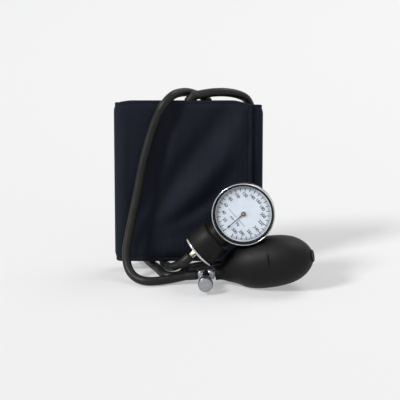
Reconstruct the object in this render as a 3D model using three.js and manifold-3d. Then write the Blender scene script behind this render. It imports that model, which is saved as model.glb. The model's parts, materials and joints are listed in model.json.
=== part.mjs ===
// Aneroid sphygmomanometer: a gauge and a rubber bulb in front of a rolled cuff, joined by two hoses.
// Millimetres, +X to the right, +Y away from the reader of the dial, +Z up, floor at z = 0.

import * as THREE from "three";
import { mergeVertices } from "three/addons/utils/BufferGeometryUtils.js";
import Module from "manifold-3d";

const wasm = await Module();
wasm.setup();

// Clearance between pieces that are fitted together
const gap = 0.3;
const degree = Math.PI / 180;

// Where the middle of the whole object lies, measured from the middle of the cuff's front bottom edge
const middleRight = 21.9;
const middleAhead = -9.5;

// Cuff: one nylon strip rolled flat into four layers, with the bladder in its inner half
const cuffHeight = 147;
const cuffWidth = 135;
const stripThickness = 3.4;
const layerPitch = 4.2;
const outerEndRight = 57.5;
const innerEndRight = 50;
const cuffLift = 9.5;
const cuffLean = 9 * degree;
const backRaised = 2.2;
const backSagged = 1.3;
const rightSagged = 3.8;
const leftSagged = 1.8;
const bladderThickness = 1.4;
const bladderMargin = 8;
const bladderLength = 200;
const tapeThickness = 0.7;
const tapeLength = 55;
const tapeMargin = 12;

// Hoses
const hoseDiameter = 7.8;
const hoseBore = 4.4;
const barbRadius = hoseBore / 2 - gap / 2;
const barbLength = 8;

// Gauge head, from the front of the bezel backwards
const bezelRadius = 27.7;
const bezelWall = 0.7;
const bezelDepth = 6.4;
const bezelLip = 1.5;
const crystalThickness = 1.2;
const spacerThickness = 1.8;
const dialShownRadius = bezelRadius - 3.2;
const dialThickness = 0.6;
const headDepth = 20.4;
const caseWall = 1.4;

// Drum under the head, with its axis parallel to the dial
const drumRadius = 16.8;
const drumBehind = 10.7;
const drumTop = bezelRadius + 4.7;
const drumBottom = bezelRadius + 23.4;
const neckRadius = 12.2;
const neckTop = bezelRadius - 5.7;
const rodBore = 2.4;
const plateThickness = 2;
const plateOverhang = 0.8;
const nippleOffset = -1.2;

// Movement: a capsule lifts the rod, the rod turns the sector, the sector turns the pinion and pointer
const toothModule = 0.45;
const pinionTeeth = 8;
const gearRatio = 8;
const sectorTeeth = 12;
const pointerSweep = 338.7 * degree;
const rodLift = 2;
const movementPlateRadius = 18;
const movementPlateThickness = 0.8;
const gearThickness = 1.2;
const arborRadius = 0.6;
const pillarRadius = 1.3;
const pointerLength = 18.9;

// Air release valve
const valveRadius = 5.3;
const valveLength = 14.4;
const knobRadius = 6.2;
const knobRimRadius = 6.6;
const knobReach = 28.7;
const knobThickness = 6;
const needleRadius = 1.6;

// Bulb: radius at distances along its centreline
const bulbWall = 2.6;
const bulbProfile = [
  [0, 6.1],
  [6, 6.9],
  [12, 10.9],
  [20, 16.2],
  [28, 19.8],
  [37, 22],
  [47, 22.8],
  [57, 22.7],
  [67, 21.5],
  [76, 18.9],
  [83, 14.6],
  [87.5, 10],
  [90, 6],
];
const bulbCentreline = [
  [23.9, -31, 10.1],
  [32.5, -31.4, 11.7],
  [45, -31.6, 16.2],
  [68, -35, 22.1],
  [108.6, -44, 31.4],
];
const flatDepth = 0.35;

// Places of the gauge and the valve
const gaugeCentre = [48, -42.6, 41.1 + bezelRadius];
const gaugeLean = 7 * degree;
const gaugeYaw = -4 * degree;
const gaugeRoll = -47.8 * degree;
const valveCentre = [15.9, -30.8, 9.2];
const valveSlope = 6 * degree;
const valveYaw = -1.5 * degree;
const knobTilt = 0;

// Hose routes, from the cuff to the fitting that each one feeds
const bulbHoseRoute = [
  [7.2, 41, 156],
  [1, 39.2, 158.3],
  [-6, 33, 160],
  [-14.6, 21.4, 159.6],
  [-22.7, 15.6, 151.7],
  [-29.9, 14.8, 137.2],
  [-36.7, 11, 116.9],
  [-41.2, 7, 99.4],
  [-45.4, 2, 77.4],
  [-49.5, -3, 58.2],
  [-53.5, -9, 38.4],
  [-55.8, -13.5, 25.7],
  [-55.3, -18.4, 15.6],
  [-52.1, -24, 8.6],
  [-45.9, -30.4, 5],
  [-37.6, -35, 4.1],
  [-27, -34.6, 4.1],
  [-16.4, -31.8, 4.6],
];
const gaugeHoseRoute = [
  [10.6, 30.6, 158.6],
  [21.2, 31.2, 160.2],
  [32.9, 33, 160.1],
  [44.9, 38.5, 156.7],
  [53, 43.6, 151],
  [57, 45.2, 142],
  [58.2, 43.8, 128],
  [57.6, 41.6, 108],
  [56.4, 38.6, 84],
  [55.4, 35.4, 60],
  [55, 34, 40],
  [54.9, 33.8, 26],
  [54.2, 33, 15.6],
  [51.9, 30, 8.4],
  [47.6, 24.6, 4.6],
  [40.6, 17.6, 4.1],
  [32, 11.6, 4.1],
  [22.6, 7.4, 4.1],
  [12.8, 4.4, 4.1],
  [3.8, -0.2, 4.1],
  [-2.4, -6.4, 4.1],
  [-4.7, -14, 4.1],
  [-8, -20, 4.1],
  [-14.3, -22.8, 4.1],
  [-20.6, -20, 4.1],
  [-24.4, -13, 4.1],
  [-27.8, -4, 4.1],
  [-32.2, 5, 4.1],
  [-37.8, 18, 4.1],
  [-43.4, 34, 4.1],
  [-44, 50, 4.1],
  [-35.4, 62.4, 4.1],
  [-21.6, 62, 4.1],
  [-14, 49, 4.1],
  [-17.6, 33.6, 4.1],
  [-23, 20, 4.1],
  [-22.6, 9.6, 4.1],
  [-18.6, -0.4, 4.7],
  [-14.6, -11.6, 8.6],
  [-11.2, -23, 14.2],
];

// Materials
function paint(colour, roughness, metalness) {
  return new THREE.MeshStandardMaterial({ color: colour, roughness, metalness });
}
const chrome = paint(0xd8dadc, 0.12, 1);
const brass = paint(0xb08d4a, 0.35, 1);
const steel = paint(0x9a9c9e, 0.35, 1);
const nickel = paint(0xcfc7b0, 0.3, 1);
const satin = paint(0xc9cdd0, 0.4, 1);
const blackCase = paint(0x17181a, 0.45, 0.1);
const blackPlastic = paint(0x101113, 0.5, 0);
const dialWhite = paint(0xf2f3f4, 0.6, 0);
const clear = paint(0xe8f2f5, 0.05, 0);
const bulbRubber = paint(0x1b1c1e, 0.6, 0);
const hoseRubber = paint(0x26282a, 0.55, 0);
const nylon = paint(0x1e222d, 0.9, 0);
const tapeCloth = paint(0x14161c, 0.95, 0);
const bladderRubber = paint(0x3a3c40, 0.8, 0);

// A geometry as a solid. Its winding is turned round where the faces would point inwards.
function solidOf(geometry) {
  const bare = new THREE.BufferGeometry();
  bare.setAttribute("position", geometry.getAttribute("position").clone());
  if (geometry.index) bare.setIndex(geometry.index.clone());
  const merged = mergeVertices(bare, 1e-4);
  const place = merged.getAttribute("position");
  const corners = merged.index.array;
  const a = new THREE.Vector3();
  const b = new THREE.Vector3();
  const c = new THREE.Vector3();
  const kept = [];
  let volume = 0;
  for (let i = 0; i < corners.length; i += 3) {
    const [p, q, r] = [corners[i], corners[i + 1], corners[i + 2]];
    if (p === q || q === r || r === p) continue;
    kept.push(p, q, r);
    a.fromBufferAttribute(place, p);
    b.fromBufferAttribute(place, q);
    c.fromBufferAttribute(place, r);
    volume += a.dot(b.cross(c));
  }
  const triVerts = new Uint32Array(volume < 0 ? kept.reverse() : kept);
  const vertProperties = new Float32Array(place.array);
  return new wasm.Manifold(new wasm.Mesh({ numProp: 3, vertProperties, triVerts }));
}

function geometryOf(solid) {
  const made = solid.getMesh();
  const geometry = new THREE.BufferGeometry();
  geometry.setAttribute("position", new THREE.BufferAttribute(made.vertProperties, 3));
  geometry.setIndex(new THREE.BufferAttribute(made.triVerts, 1));
  return geometry;
}

function join(...geometries) {
  return geometryOf(geometries.map(solidOf).reduce((whole, next) => whole.add(next)));
}

function cut(geometry, ...tools) {
  return geometryOf(tools.map(solidOf).reduce((rest, tool) => rest.subtract(tool), solidOf(geometry)));
}

// A profile of [radius, z] points turned round the z axis
function turned(profile, sides = 32) {
  const points = profile.map(([radius, z]) => new THREE.Vector2(radius, z));
  return new THREE.LatheGeometry(points, sides).rotateX(Math.PI / 2);
}

function disc(radius, from, to, sides = 24) {
  return turned([[0, from], [radius, from], [radius, to], [0, to]], sides);
}

// A round tool for cutting a clearance, whose flats lie at the radius
function drill(radius, from, to, sides = 16) {
  return disc(radius / Math.cos(Math.PI / sides), from, to, sides);
}

function ring(outer, inner, from, to, sides = 32) {
  return turned([[inner, from], [outer, from], [outer, to], [inner, to], [inner, from]], sides);
}

// The same shapes with their axis down the dial (towards -y), and with their axis along x
function downwards(geometry) {
  return geometry.rotateX(Math.PI / 2);
}

function sideways(geometry) {
  return geometry.rotateY(Math.PI / 2);
}

function slab(outline, from, to, holes = []) {
  const shape = new THREE.Shape(outline.map(([x, y]) => new THREE.Vector2(x, y)));
  for (const [x, y, radius] of holes) {
    shape.holes.push(new THREE.Path(circle(x, y, radius, 12).map((p) => new THREE.Vector2(...p))));
  }
  const low = Math.min(from, to);
  const options = { depth: Math.abs(to - from), bevelEnabled: false };
  return new THREE.ExtrudeGeometry(shape, options).translate(0, 0, low);
}

function circle(x, y, radius, sides = 32) {
  return Array.from({ length: sides }, (_, i) => {
    const angle = (i / sides) * 2 * Math.PI;
    return [x + radius * Math.cos(angle), y + radius * Math.sin(angle)];
  });
}

function part(name, geometry, material) {
  const mesh = new THREE.Mesh(geometryOf(solidOf(geometry)), material);
  mesh.name = name;
  return mesh;
}

// Bezel, window and dial, seen from the front, with z = 0 at the front of the bezel

const bezelBore = bezelRadius - bezelWall;
const seatRadius = bezelBore - gap;
const crystalFront = -(bezelWall + gap);
const crystalBack = crystalFront - crystalThickness;
const spacerFront = crystalBack - gap;
const spacerBack = spacerFront - spacerThickness;
const dialFront = spacerBack - gap;
const dialBack = dialFront - dialThickness;
const rimFront = dialBack - gap;

function bezel() {
  const round = bezelWall * 0.7;
  return turned(
    [
      [bezelRadius - bezelLip, 0],
      [bezelRadius - round, 0],
      [bezelRadius, -round],
      [bezelRadius, -bezelDepth],
      [bezelBore, -bezelDepth],
      [bezelBore, -bezelWall],
      [bezelRadius - bezelLip, -bezelWall],
      [bezelRadius - bezelLip, 0],
    ],
    64,
  );
}

function crystal() {
  return disc(seatRadius, crystalBack, crystalFront, 48);
}

function spacerRing() {
  return ring(seatRadius, dialShownRadius, spacerBack, spacerFront, 48);
}

function dialPlate() {
  return ring(seatRadius, arborRadius * 3, dialBack, dialFront, 48);
}

// Gauge case: flat head, neck and drum in one casting

const headInside = headDepth - caseWall;
const drumInside = drumRadius - caseWall;
const screwPlaces = [
  [-10, -13],
  [11.5, -13],
  [0, 12],
];
const screwRadius = 0.9;
const bossRadius = 2.4;
const clipScrewHeights = [1, 8];

function gaugeCase() {
  const rim = bezelRadius - bezelWall - gap;
  const head = turned(
    [
      [0, rimFront],
      [rim, rimFront],
      [rim, -bezelDepth - gap],
      [rim - 1.1, -bezelDepth - 3],
      [rim - 2.1, -headDepth + 2.4],
      [rim - 4.1, -headDepth],
      [0, -headDepth],
    ],
    48,
  );
  const headRoom = turned(
    [
      [0, rimFront + 1],
      [rim - caseWall, rimFront + 1],
      [rim - caseWall, -bezelDepth - gap],
      [rim - 1.1 - caseWall, -bezelDepth - 3],
      [rim - 2.1 - caseWall, -headInside + 1.6],
      [rim - 3.6 - caseWall, -headInside],
      [0, -headInside],
    ],
    48,
  );
  const shoulder = 2;
  const drum = turned(
    [
      [0, neckTop],
      [neckRadius, neckTop],
      [neckRadius, drumTop],
      [drumRadius - shoulder, drumTop],
      [drumRadius - shoulder * 0.3, drumTop + shoulder * 0.3],
      [drumRadius, drumTop + shoulder],
      [drumRadius, drumBottom],
      [0, drumBottom],
    ],
    40,
  );
  const drumRoom = disc(drumInside, drumTop + shoulder, drumBottom + 1, 40);
  const rodWay = drill(rodBore, 10, drumBottom);
  const behind = -drumBehind;
  const bezelRoom = disc(bezelRadius + gap, -bezelDepth - gap, 10, 64);
  const body = cut(downwards(drum).translate(0, 0, behind), bezelRoom);
  const outside = join(head, body);
  const bosses = screwPlaces.map(([x, y]) =>
    disc(bossRadius, -headInside - 0.2, movementBack - gap, 16).translate(x, y, 0),
  );
  const screwHoles = screwPlaces.map(([x, y]) =>
    drill(screwRadius + gap, -headInside + 1.5, movementBack + 1, 12).translate(x, y, 0),
  );
  const clipHoles = clipScrewHeights.map((y) =>
    drill(screwRadius + gap, -headDepth - 1, -headInside + 1, 12).translate(0, y, 0),
  );
  const hollow = cut(
    outside,
    headRoom,
    downwards(drumRoom).translate(0, 0, behind),
    downwards(rodWay).translate(0, 0, behind),
  );
  return cut(join(hollow, ...bosses), ...screwHoles, ...clipHoles);
}

// Movement between two plates behind the dial

const pinionPitch = (toothModule * pinionTeeth) / 2;
const sectorPitch = pinionPitch * gearRatio;
const centreDistance = pinionPitch + sectorPitch;
const sectorSwing = pointerSweep / gearRatio;
const armLength = rodLift / (2 * Math.sin(sectorSwing / 2));
const sectorX = -armLength;
const sectorY = -Math.sqrt(centreDistance ** 2 - armLength ** 2);
const sectorBearing = Math.atan2(-sectorY, -sectorX);
const armTipRadius = 0.6;
const gearFront = -drumBehind + gearThickness / 2;
const gearBack = gearFront - gearThickness;
const plateRoom = 1.4;
const movementFrontFace = gearFront + plateRoom + movementPlateThickness;
const movementFront = gearFront + plateRoom;
const movementBackFace = gearBack - plateRoom - 0.6;
const movementBack = movementBackFace - movementPlateThickness;
const movementMiddleY = -2;
const pillarPlaces = [
  [-13, 4],
  [13, 3],
  [8.5, -15.3],
];
const studX = 6.4;

function toothOutline(pitchRadius, toothWidth, count, addendum, dedendum, bearing) {
  const step = toothModule * Math.PI / pitchRadius;
  const half = toothWidth / pitchRadius / 2;
  const outline = [];
  for (let i = 0; i < count; i += 1) {
    const middle = bearing + (i - (count - 1) / 2) * step;
    const corners = [
      [pitchRadius - dedendum, -half * 1.5],
      [pitchRadius + addendum, -half * 0.55],
      [pitchRadius + addendum, half * 0.55],
      [pitchRadius - dedendum, half * 1.5],
    ];
    for (const [radius, offset] of corners) {
      const angle = middle + offset;
      outline.push([radius * Math.cos(angle), radius * Math.sin(angle)]);
    }
  }
  return outline;
}

const toothWidth = toothModule * Math.PI * 0.4;
const toothAddendum = toothModule * 0.75;
const toothDedendum = toothModule * 1.15;

function sectorGear() {
  const hub = 2;
  const teeth = toothOutline(
    sectorPitch, toothWidth, sectorTeeth, toothAddendum, toothDedendum, sectorBearing,
  );
  const wedge = [
    [hub * Math.cos(sectorBearing - 1.2), hub * Math.sin(sectorBearing - 1.2)],
    ...teeth,
    [hub * Math.cos(sectorBearing + 1.2), hub * Math.sin(sectorBearing + 1.2)],
  ];
  const bar = [
    [0, -armTipRadius],
    [armLength, -armTipRadius],
    [armLength, armTipRadius],
    [0, armTipRadius],
  ];
  const blank = join(
    slab(wedge, gearBack, gearFront),
    disc(hub, gearBack, gearFront, 20),
    slab(bar, gearBack, gearFront),
    disc(armTipRadius, gearBack, gearFront, 12).translate(armLength, 0, 0),
  );
  const hole = drill(arborRadius + gap, gearBack - 1, gearFront + 1, 12);
  return cut(blank, hole).rotateZ(-sectorSwing / 2).translate(sectorX, sectorY, 0);
}

function arbor(from, to) {
  return disc(arborRadius, from, to, 12);
}

const pivotDepth = movementPlateThickness * 0.6;
const handFront = dialFront + 1.3;

function pinionArbor() {
  const halfStep = Math.PI / pinionTeeth;
  const teeth = toothOutline(
    pinionPitch, toothWidth, pinionTeeth, toothAddendum, toothDedendum * 0.85,
    sectorBearing + Math.PI + halfStep,
  );
  const leaves = slab(teeth, gearBack - 0.5, gearFront + 0.5).rotateZ(pointerSweep / 2);
  return join(leaves, arbor(movementBackFace - pivotDepth, handFront));
}

function movementPlate(from, to, extraHoles) {
  const pivot = (arborRadius + gap) / Math.cos(Math.PI / 12);
  const holes = [[0, 0, pivot], [sectorX, sectorY, pivot], ...extraHoles];
  return slab(circle(0, movementMiddleY, movementPlateRadius, 40), from, to, holes);
}

function backPlate() {
  const screwHoles = screwPlaces.map(([x, y]) => [x, y, screwRadius + gap]);
  const stud = disc(0.7, movementBackFace - 0.2, gearBack - 0.5, 8).translate(studX, 0, 0);
  return join(movementPlate(movementBack, movementBackFace, screwHoles), stud);
}

function pillar() {
  return disc(pillarRadius, movementBackFace + gap, movementFront - gap, 12);
}

function movementScrew() {
  return join(
    disc(1.5, movementBackFace + gap, movementBackFace + gap + 1, 12),
    disc(screwRadius, -headInside + 2, movementBackFace + 0.5, 12),
  );
}

// Flat spiral spring from the arbor out to the stud
function hairspring() {
  const turns = 3;
  const inner = 1.4;
  const half = 0.12;
  const outer = studX - 0.7 - gap - half;
  const steps = turns * 14;
  const leftSide = [];
  const rightSide = [];
  for (let i = 0; i <= steps; i += 1) {
    const angle = (i / steps) * turns * 2 * Math.PI;
    const radius = inner + (outer - inner) * (i / steps);
    leftSide.push([(radius - half) * Math.cos(angle), (radius - half) * Math.sin(angle)]);
    rightSide.push([(radius + half) * Math.cos(angle), (radius + half) * Math.sin(angle)]);
  }
  const width = 0.5;
  return slab([...leftSide, ...rightSide.reverse()], gearBack - 0.8 - width, gearBack - 0.8);
}

// The hand stands at zero, straight down the dial
function pointer() {
  const hubRadius = 2.3;
  const back = dialFront + 0.7;
  const front = back + 0.4;
  const blade = [
    [-0.45, 0],
    [-0.35, -pointerLength + 6],
    [-1.15, -pointerLength + 5.6],
    [0, -pointerLength],
    [1.15, -pointerLength + 5.6],
    [0.35, -pointerLength + 6],
    [0.45, 0],
  ];
  const blank = join(slab(blade, back, front), disc(hubRadius, back, front, 24));
  return cut(blank, drill(bossBody + gap, back - 1, front + 1));
}

const bossBody = 1.1;

function pointerBoss() {
  const back = dialFront + 0.4;
  const front = crystalBack - gap;
  const blank = join(
    disc(bossBody, back, front, 20),
    disc(1.5, dialFront + 1.1 + gap, front, 20),
  );
  return cut(blank, drill(arborRadius + gap, back - 1, handFront + gap, 12));
}

// Pressure capsule in the drum, with distances measured down the drum's axis

const flange = 12.8;
const plateTop = drumBottom + gap;
const plateBottom = plateTop + plateThickness;
const capsuleBottom = plateTop - gap;
const capsuleSeam = capsuleBottom - 3.6;
const capsuleTop = capsuleSeam - gap - 3.2;
const foil = 0.6;
const stemRadius = 1.8;

function capsuleShell(seam, far) {
  const up = Math.sign(seam - far);
  return turned([
    [0, far],
    [7, far],
    [8.2, far + up * 0.7],
    [9.4, far + up * 0.2],
    [11.2, seam - up * foil],
    [flange, seam - up * foil],
    [flange, seam],
    [10.9, seam],
    [9.2, far + up * (foil + 0.4)],
    [8.1, far + up * (foil + 0.9)],
    [6.9, far + up * foil],
    [0, far + up * foil],
  ]);
}

function onDrumAxis(geometry) {
  return downwards(geometry).translate(0, 0, -drumBehind);
}

function capsuleLower() {
  const hole = drill(stemRadius + gap, capsuleSeam, plateBottom).translate(nippleOffset, 0, 0);
  return onDrumAxis(cut(capsuleShell(capsuleSeam, capsuleBottom), hole));
}

function capsuleUpper() {
  return onDrumAxis(capsuleShell(capsuleSeam - gap, capsuleTop));
}

function capsulePost() {
  const armTip = sectorY - armLength * Math.sin(sectorSwing / 2) - armTipRadius;
  const rodRadius = 0.9;
  const rodEnd = -armTip + gap;
  const rodRoot = capsuleTop - gap - 0.5;
  const rod = turned([
    [0, rodEnd],
    [0.3, rodEnd],
    [rodRadius, rodEnd + 1],
    [rodRadius, rodRoot],
    [0, rodRoot],
  ], 12);
  return onDrumAxis(join(disc(3.4, capsuleTop - gap - 1, capsuleTop - gap, 20), rod));
}

function bottomPlate() {
  const edge = drumRadius + plateOverhang;
  const lid = turned([
    [0, plateTop],
    [edge - 0.5, plateTop],
    [edge, plateTop + 0.5],
    [edge, plateBottom - 0.6],
    [edge - 0.8, plateBottom],
    [0, plateBottom],
  ], 40);
  const spigot = ring(drumInside - gap, flange + gap + 0.3, plateTop - 2, plateTop + 0.5, 40);
  const hole = drill(stemRadius + gap, plateTop - 1, plateBottom + 1).translate(nippleOffset, 0, 0);
  return onDrumAxis(cut(join(lid, spigot), hole));
}

const collarStart = plateBottom + gap;
const collarLength = 7.5;
const nippleEnd = collarStart + collarLength + barbLength;

// A barb's outline along its axis, from its root to its end
function barb(from, to) {
  const way = Math.sign(to - from);
  return turned([
    [0, from],
    [barbRadius * 0.86, from],
    [barbRadius * 0.86, to - way * 4],
    [barbRadius, to - way * 3.6],
    [barbRadius * 0.8, to],
    [0, to],
  ], 20);
}

function gaugeNipple() {
  const collar = disc(3.1, collarStart, collarStart + collarLength, 6);
  const stem = disc(stemRadius, capsuleBottom - 1.2, collarStart + 0.5, 16);
  const blank = join(collar, stem, barb(collarStart + collarLength - 0.5, nippleEnd));
  const bore = disc(0.8, capsuleBottom - 3, nippleEnd + 1, 8);
  return onDrumAxis(cut(blank, bore).translate(nippleOffset, 0, 0));
}

// Spring clip on the back of the head
const clipWidth = 9;
const clipSheet = 0.9;
const clipFront = -headDepth - gap;
const clipReach = 3.4;

function backClip() {
  const tongueFront = clipFront - clipSheet - clipReach;
  const profile = [
    [-3, clipFront],
    [13.5, clipFront],
    [15.2, clipFront - 1.2],
    [15.8, (clipFront + tongueFront) / 2],
    [15.2, tongueFront + 0.3],
    [13.5, tongueFront - clipSheet],
    [-11, tongueFront - clipSheet],
    [-15, tongueFront - clipSheet - 1.6],
    [-15, tongueFront - 1.6],
    [-11, tongueFront],
    [13, tongueFront],
    [14.7, tongueFront + 1.2],
    [14.9, (clipFront - clipSheet + tongueFront) / 2 + 0.4],
    [14.4, clipFront - clipSheet - 0.3],
    [13, clipFront - clipSheet],
    [-3, clipFront - clipSheet],
  ];
  const strip = slab(profile, -clipWidth / 2, clipWidth / 2);
  strip.applyMatrix4(new THREE.Matrix4().set(0, 0, 1, 0, 1, 0, 0, 0, 0, 1, 0, 0, 0, 0, 0, 1));
  const holes = clipScrewHeights.map((y) =>
    drill(screwRadius + gap, clipFront - clipSheet - 0.5, clipFront + 0.5, 12).translate(0, y, 0),
  );
  return cut(strip, ...holes);
}

function clipScrew(y) {
  const head = clipFront - clipSheet - gap;
  return join(
    disc(1.7, head - 1, head, 12),
    disc(screwRadius, head - 0.5, -headInside - 0.2, 12),
  ).translate(0, y, 0);
}

function gauge() {
  const group = new THREE.Group();
  group.add(
    part("bezel", bezel(), chrome),
    part("crystal", crystal(), clear),
    part("spacer_ring", spacerRing(), blackPlastic),
    part("dial_plate", dialPlate(), dialWhite),
    part("gauge_case", gaugeCase(), blackCase),
    part("movement_front_plate", movementPlate(movementFront, movementFrontFace, []), brass),
    part("movement_back_plate", backPlate(), brass),
    part("sector_gear", sectorGear(), brass),
    part("pinion_arbor", pinionArbor(), steel),
    part("hairspring", hairspring(), steel),
    part("pointer", pointer(), blackPlastic),
    part("pointer_boss", pointerBoss(), brass),
    part("capsule_lower", capsuleLower(), brass),
    part("capsule_upper", capsuleUpper(), brass),
    part("capsule_post", capsulePost(), steel),
    part("bottom_plate", bottomPlate(), chrome),
    part("gauge_nipple", gaugeNipple(), nickel),
    part("back_clip", backClip(), steel),
  );
  const shaft = arbor(movementBackFace - pivotDepth, movementFront + pivotDepth);
  group.add(part("sector_arbor", shaft.translate(sectorX, sectorY, 0), steel));
  pillarPlaces.forEach(([x, y], i) => {
    group.add(part(`movement_pillar_${i + 1}`, pillar().translate(x, y, 0), brass));
  });
  screwPlaces.forEach(([x, y], i) => {
    group.add(part(`movement_screw_${i + 1}`, movementScrew().translate(x, y, 0), steel));
  });
  clipScrewHeights.forEach((y, i) => {
    group.add(part(`clip_screw_${i + 1}`, clipScrew(y), steel));
  });
  group.rotation.z = gaugeRoll;
  const stand = new THREE.Group();
  stand.add(group);
  stand.rotation.set(Math.PI / 2 - gaugeLean, 0, gaugeYaw, "ZXY");
  stand.position.set(...gaugeCentre);
  return stand;
}

// Air release valve, with x along the body towards the bulb and -y along the thumb screw

const bodyEnd = valveLength / 2;
const bossReach = 17.5;
const bossSize = 4.4;
const needleTip = 2.2;
const bulbBarbRadius = 3.4;
const bulbBarbLength = 11;
const chamberRadius = 1.9;
const chamberStart = bodyEnd + 1.5;
const ballRadius = 1.5;
const ballTravel = 0.8;
const airWay = 0.9;

// The same shapes with their axis towards the front (-y)
function forwards(geometry) {
  return geometry.rotateX(Math.PI / 2);
}

function valveBody() {
  const barrel = turned([
    [0, -bodyEnd],
    [valveRadius - 0.7, -bodyEnd],
    [valveRadius, -bodyEnd + 0.7],
    [valveRadius, -1.6],
    [valveRadius - 0.6, -1],
    [valveRadius - 0.6, 1],
    [valveRadius, 1.6],
    [valveRadius, bodyEnd - 0.7],
    [valveRadius - 0.7, bodyEnd],
    [0, bodyEnd],
  ], 32);
  const hoseBarb = barb(-bodyEnd + 0.5, -bodyEnd - barbLength);
  const end = bodyEnd + bulbBarbLength;
  const bulbBarb = turned([
    [0, bodyEnd - 0.5],
    [bulbBarbRadius * 0.88, bodyEnd - 0.5],
    [bulbBarbRadius * 0.88, end - 4],
    [bulbBarbRadius, end - 3.6],
    [bulbBarbRadius * 0.84, end],
    [0, end],
  ], 20);
  const boss = turned([
    [0, 1],
    [bossSize, 1],
    [bossSize, bossReach - 3],
    [bossSize + 0.8, bossReach - 2.6],
    [bossSize + 0.8, bossReach],
    [0, bossReach],
  ], 24);
  const blank = join(sideways(barrel), sideways(hoseBarb), sideways(bulbBarb), forwards(boss));
  const wayToHose = sideways(disc(airWay, -bodyEnd - barbLength - 1, chamberStart + 0.5, 10));
  const chamber = sideways(drill(chamberRadius, chamberStart, end + 1));
  const needleWay = forwards(drill(needleRadius + gap, needleTip - gap, bossReach + 1));
  const bleedWay = forwards(disc(airWay, 0, needleTip + 1, 10));
  const glandSeat = forwards(drill(glandRadius + gap, bossReach - glandDepth, bossReach + 1, 20));
  return cut(blank, wayToHose, chamber, needleWay, bleedWay, glandSeat);
}

const glandRadius = 3.4;
const glandDepth = 2.6;

function glandRing() {
  return forwards(
    ring(glandRadius, needleRadius + gap, bossReach - glandDepth + gap, bossReach - 0.4, 20),
  );
}

function needle() {
  return forwards(turned([
    [0, needleTip],
    [0.5, needleTip],
    [needleRadius, needleTip + 2.4],
    [needleRadius, knobReach - 2.4],
    [0, knobReach - 2.4],
  ], 16));
}

function valveKnob() {
  const back = knobReach - knobThickness;
  const blank = turned([
    [0, back],
    [knobRimRadius - 1.2, back],
    [knobRimRadius, back + 0.8],
    [knobRimRadius, knobReach - 2.6],
    [knobRadius - 0.6, knobReach - 2],
    [knobRadius - 0.6, knobReach - 1.6],
    [knobRadius, knobReach - 1.2],
    [knobRadius, knobReach - 0.4],
    [knobRadius - 0.4, knobReach],
    [0, knobReach],
  ], 36);
  return forwards(cut(blank, drill(needleRadius + gap, back - 1, knobReach - 2.1)));
}

function checkBall() {
  const ball = new THREE.SphereGeometry(ballRadius, 14, 8);
  return ball.translate(ballStart, 0, 0);
}

const seatDepth = 2;
const seatStart = bodyEnd + bulbBarbLength - seatDepth;
const ballStart = seatStart - gap - ballRadius;

function checkSeat() {
  return sideways(ring(chamberRadius - gap, airWay, seatStart, seatStart + seatDepth, 16));
}

function valve() {
  const group = new THREE.Group();
  group.add(
    part("valve_body", valveBody(), chrome),
    part("gland_ring", glandRing(), blackPlastic),
    part("needle", needle(), brass),
    part("valve_knob", valveKnob(), satin),
    part("check_ball", checkBall(), steel),
    part("check_seat", checkSeat(), brass),
  );
  group.rotation.set(knobTilt, -valveSlope, valveYaw, "ZYX");
  group.position.set(...valveCentre);
  return group;
}

// Bulb: rings of points along a bent centreline, outside from neck to tail and back inside

const bulbCurve = new THREE.CatmullRomCurve3(bulbCentreline.map((p) => new THREE.Vector3(...p)));
const bulbLength = bulbProfile.at(-1)[0];
const profileCurve = new THREE.SplineCurve(bulbProfile.map(([s, r]) => new THREE.Vector2(s, r)));
const neckBore = bulbBarbRadius + gap * 1.5;
const tailBore = 4.4;

function bulbRadius(distance) {
  const fine = profileCurve.getPoints(200);
  const next = fine.findIndex((p) => p.x >= distance);
  if (next <= 0) return bulbProfile[next < 0 ? bulbProfile.length - 1 : 0][1];
  const [a, b] = [fine[next - 1], fine[next]];
  return a.y + ((b.y - a.y) * (distance - a.x)) / (b.x - a.x);
}

function bulbRing(distance, radius, sides) {
  const share = distance / bulbLength;
  const centre = bulbCurve.getPointAt(share);
  const along = bulbCurve.getTangentAt(share);
  const across = new THREE.Vector3(0, 0, 1).cross(along).normalize();
  const up = along.clone().cross(across);
  return Array.from({ length: sides }, (_, i) => {
    const angle = (i / sides) * 2 * Math.PI;
    return centre
      .clone()
      .addScaledVector(across, radius * Math.cos(angle))
      .addScaledVector(up, radius * Math.sin(angle));
  });
}

// Joins rings of equal counts into one closed skin: the last ring back to the first, or the two of
// them covered over
function skin(rings, covered = false) {
  const sides = rings[0].length;
  const points = rings.flat().flatMap((p) => [p.x, p.y, p.z]);
  const faces = [];
  const spans = covered ? rings.length - 1 : rings.length;
  for (let i = 0; i < spans; i += 1) {
    const here = i * sides;
    const there = ((i + 1) % rings.length) * sides;
    for (let j = 0; j < sides; j += 1) {
      const k = (j + 1) % sides;
      faces.push(here + j, here + k, there + k, here + j, there + k, there + j);
    }
  }
  if (covered) {
    const last = spans * sides;
    for (let j = 1; j < sides - 1; j += 1) {
      faces.push(0, j + 1, j, last, last + j, last + j + 1);
    }
  }
  const geometry = new THREE.BufferGeometry();
  geometry.setAttribute("position", new THREE.Float32BufferAttribute(points, 3));
  geometry.setIndex(faces);
  return geometry;
}

function bulbShell() {
  const sides = 28;
  const steps = 16;
  const neck = bulbBarbLength + 1;
  const outside = Array.from({ length: steps + 1 }, (_, i) => (i / steps) * bulbLength);
  const inside = Array.from({ length: 11 }, (_, i) => neck + (i / 10) * (bulbLength - tailBlock - neck));
  const rings = outside.map((s) => bulbRing(s, bulbRadius(s), sides));
  rings.push(bulbRing(bulbLength, tailBore, sides));
  inside.reverse().forEach((s) => {
    const room = Math.max(bulbRadius(s) - bulbWall, s < neck + 1 ? neckBore : tailBore);
    rings.push(bulbRing(s, room, sides));
  });
  rings.push(bulbRing(0, neckBore, sides));
  const floor = new THREE.BoxGeometry(300, 200, 20).translate(60, -40, -10 );
  return cut(skin(rings), floor);
}

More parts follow.
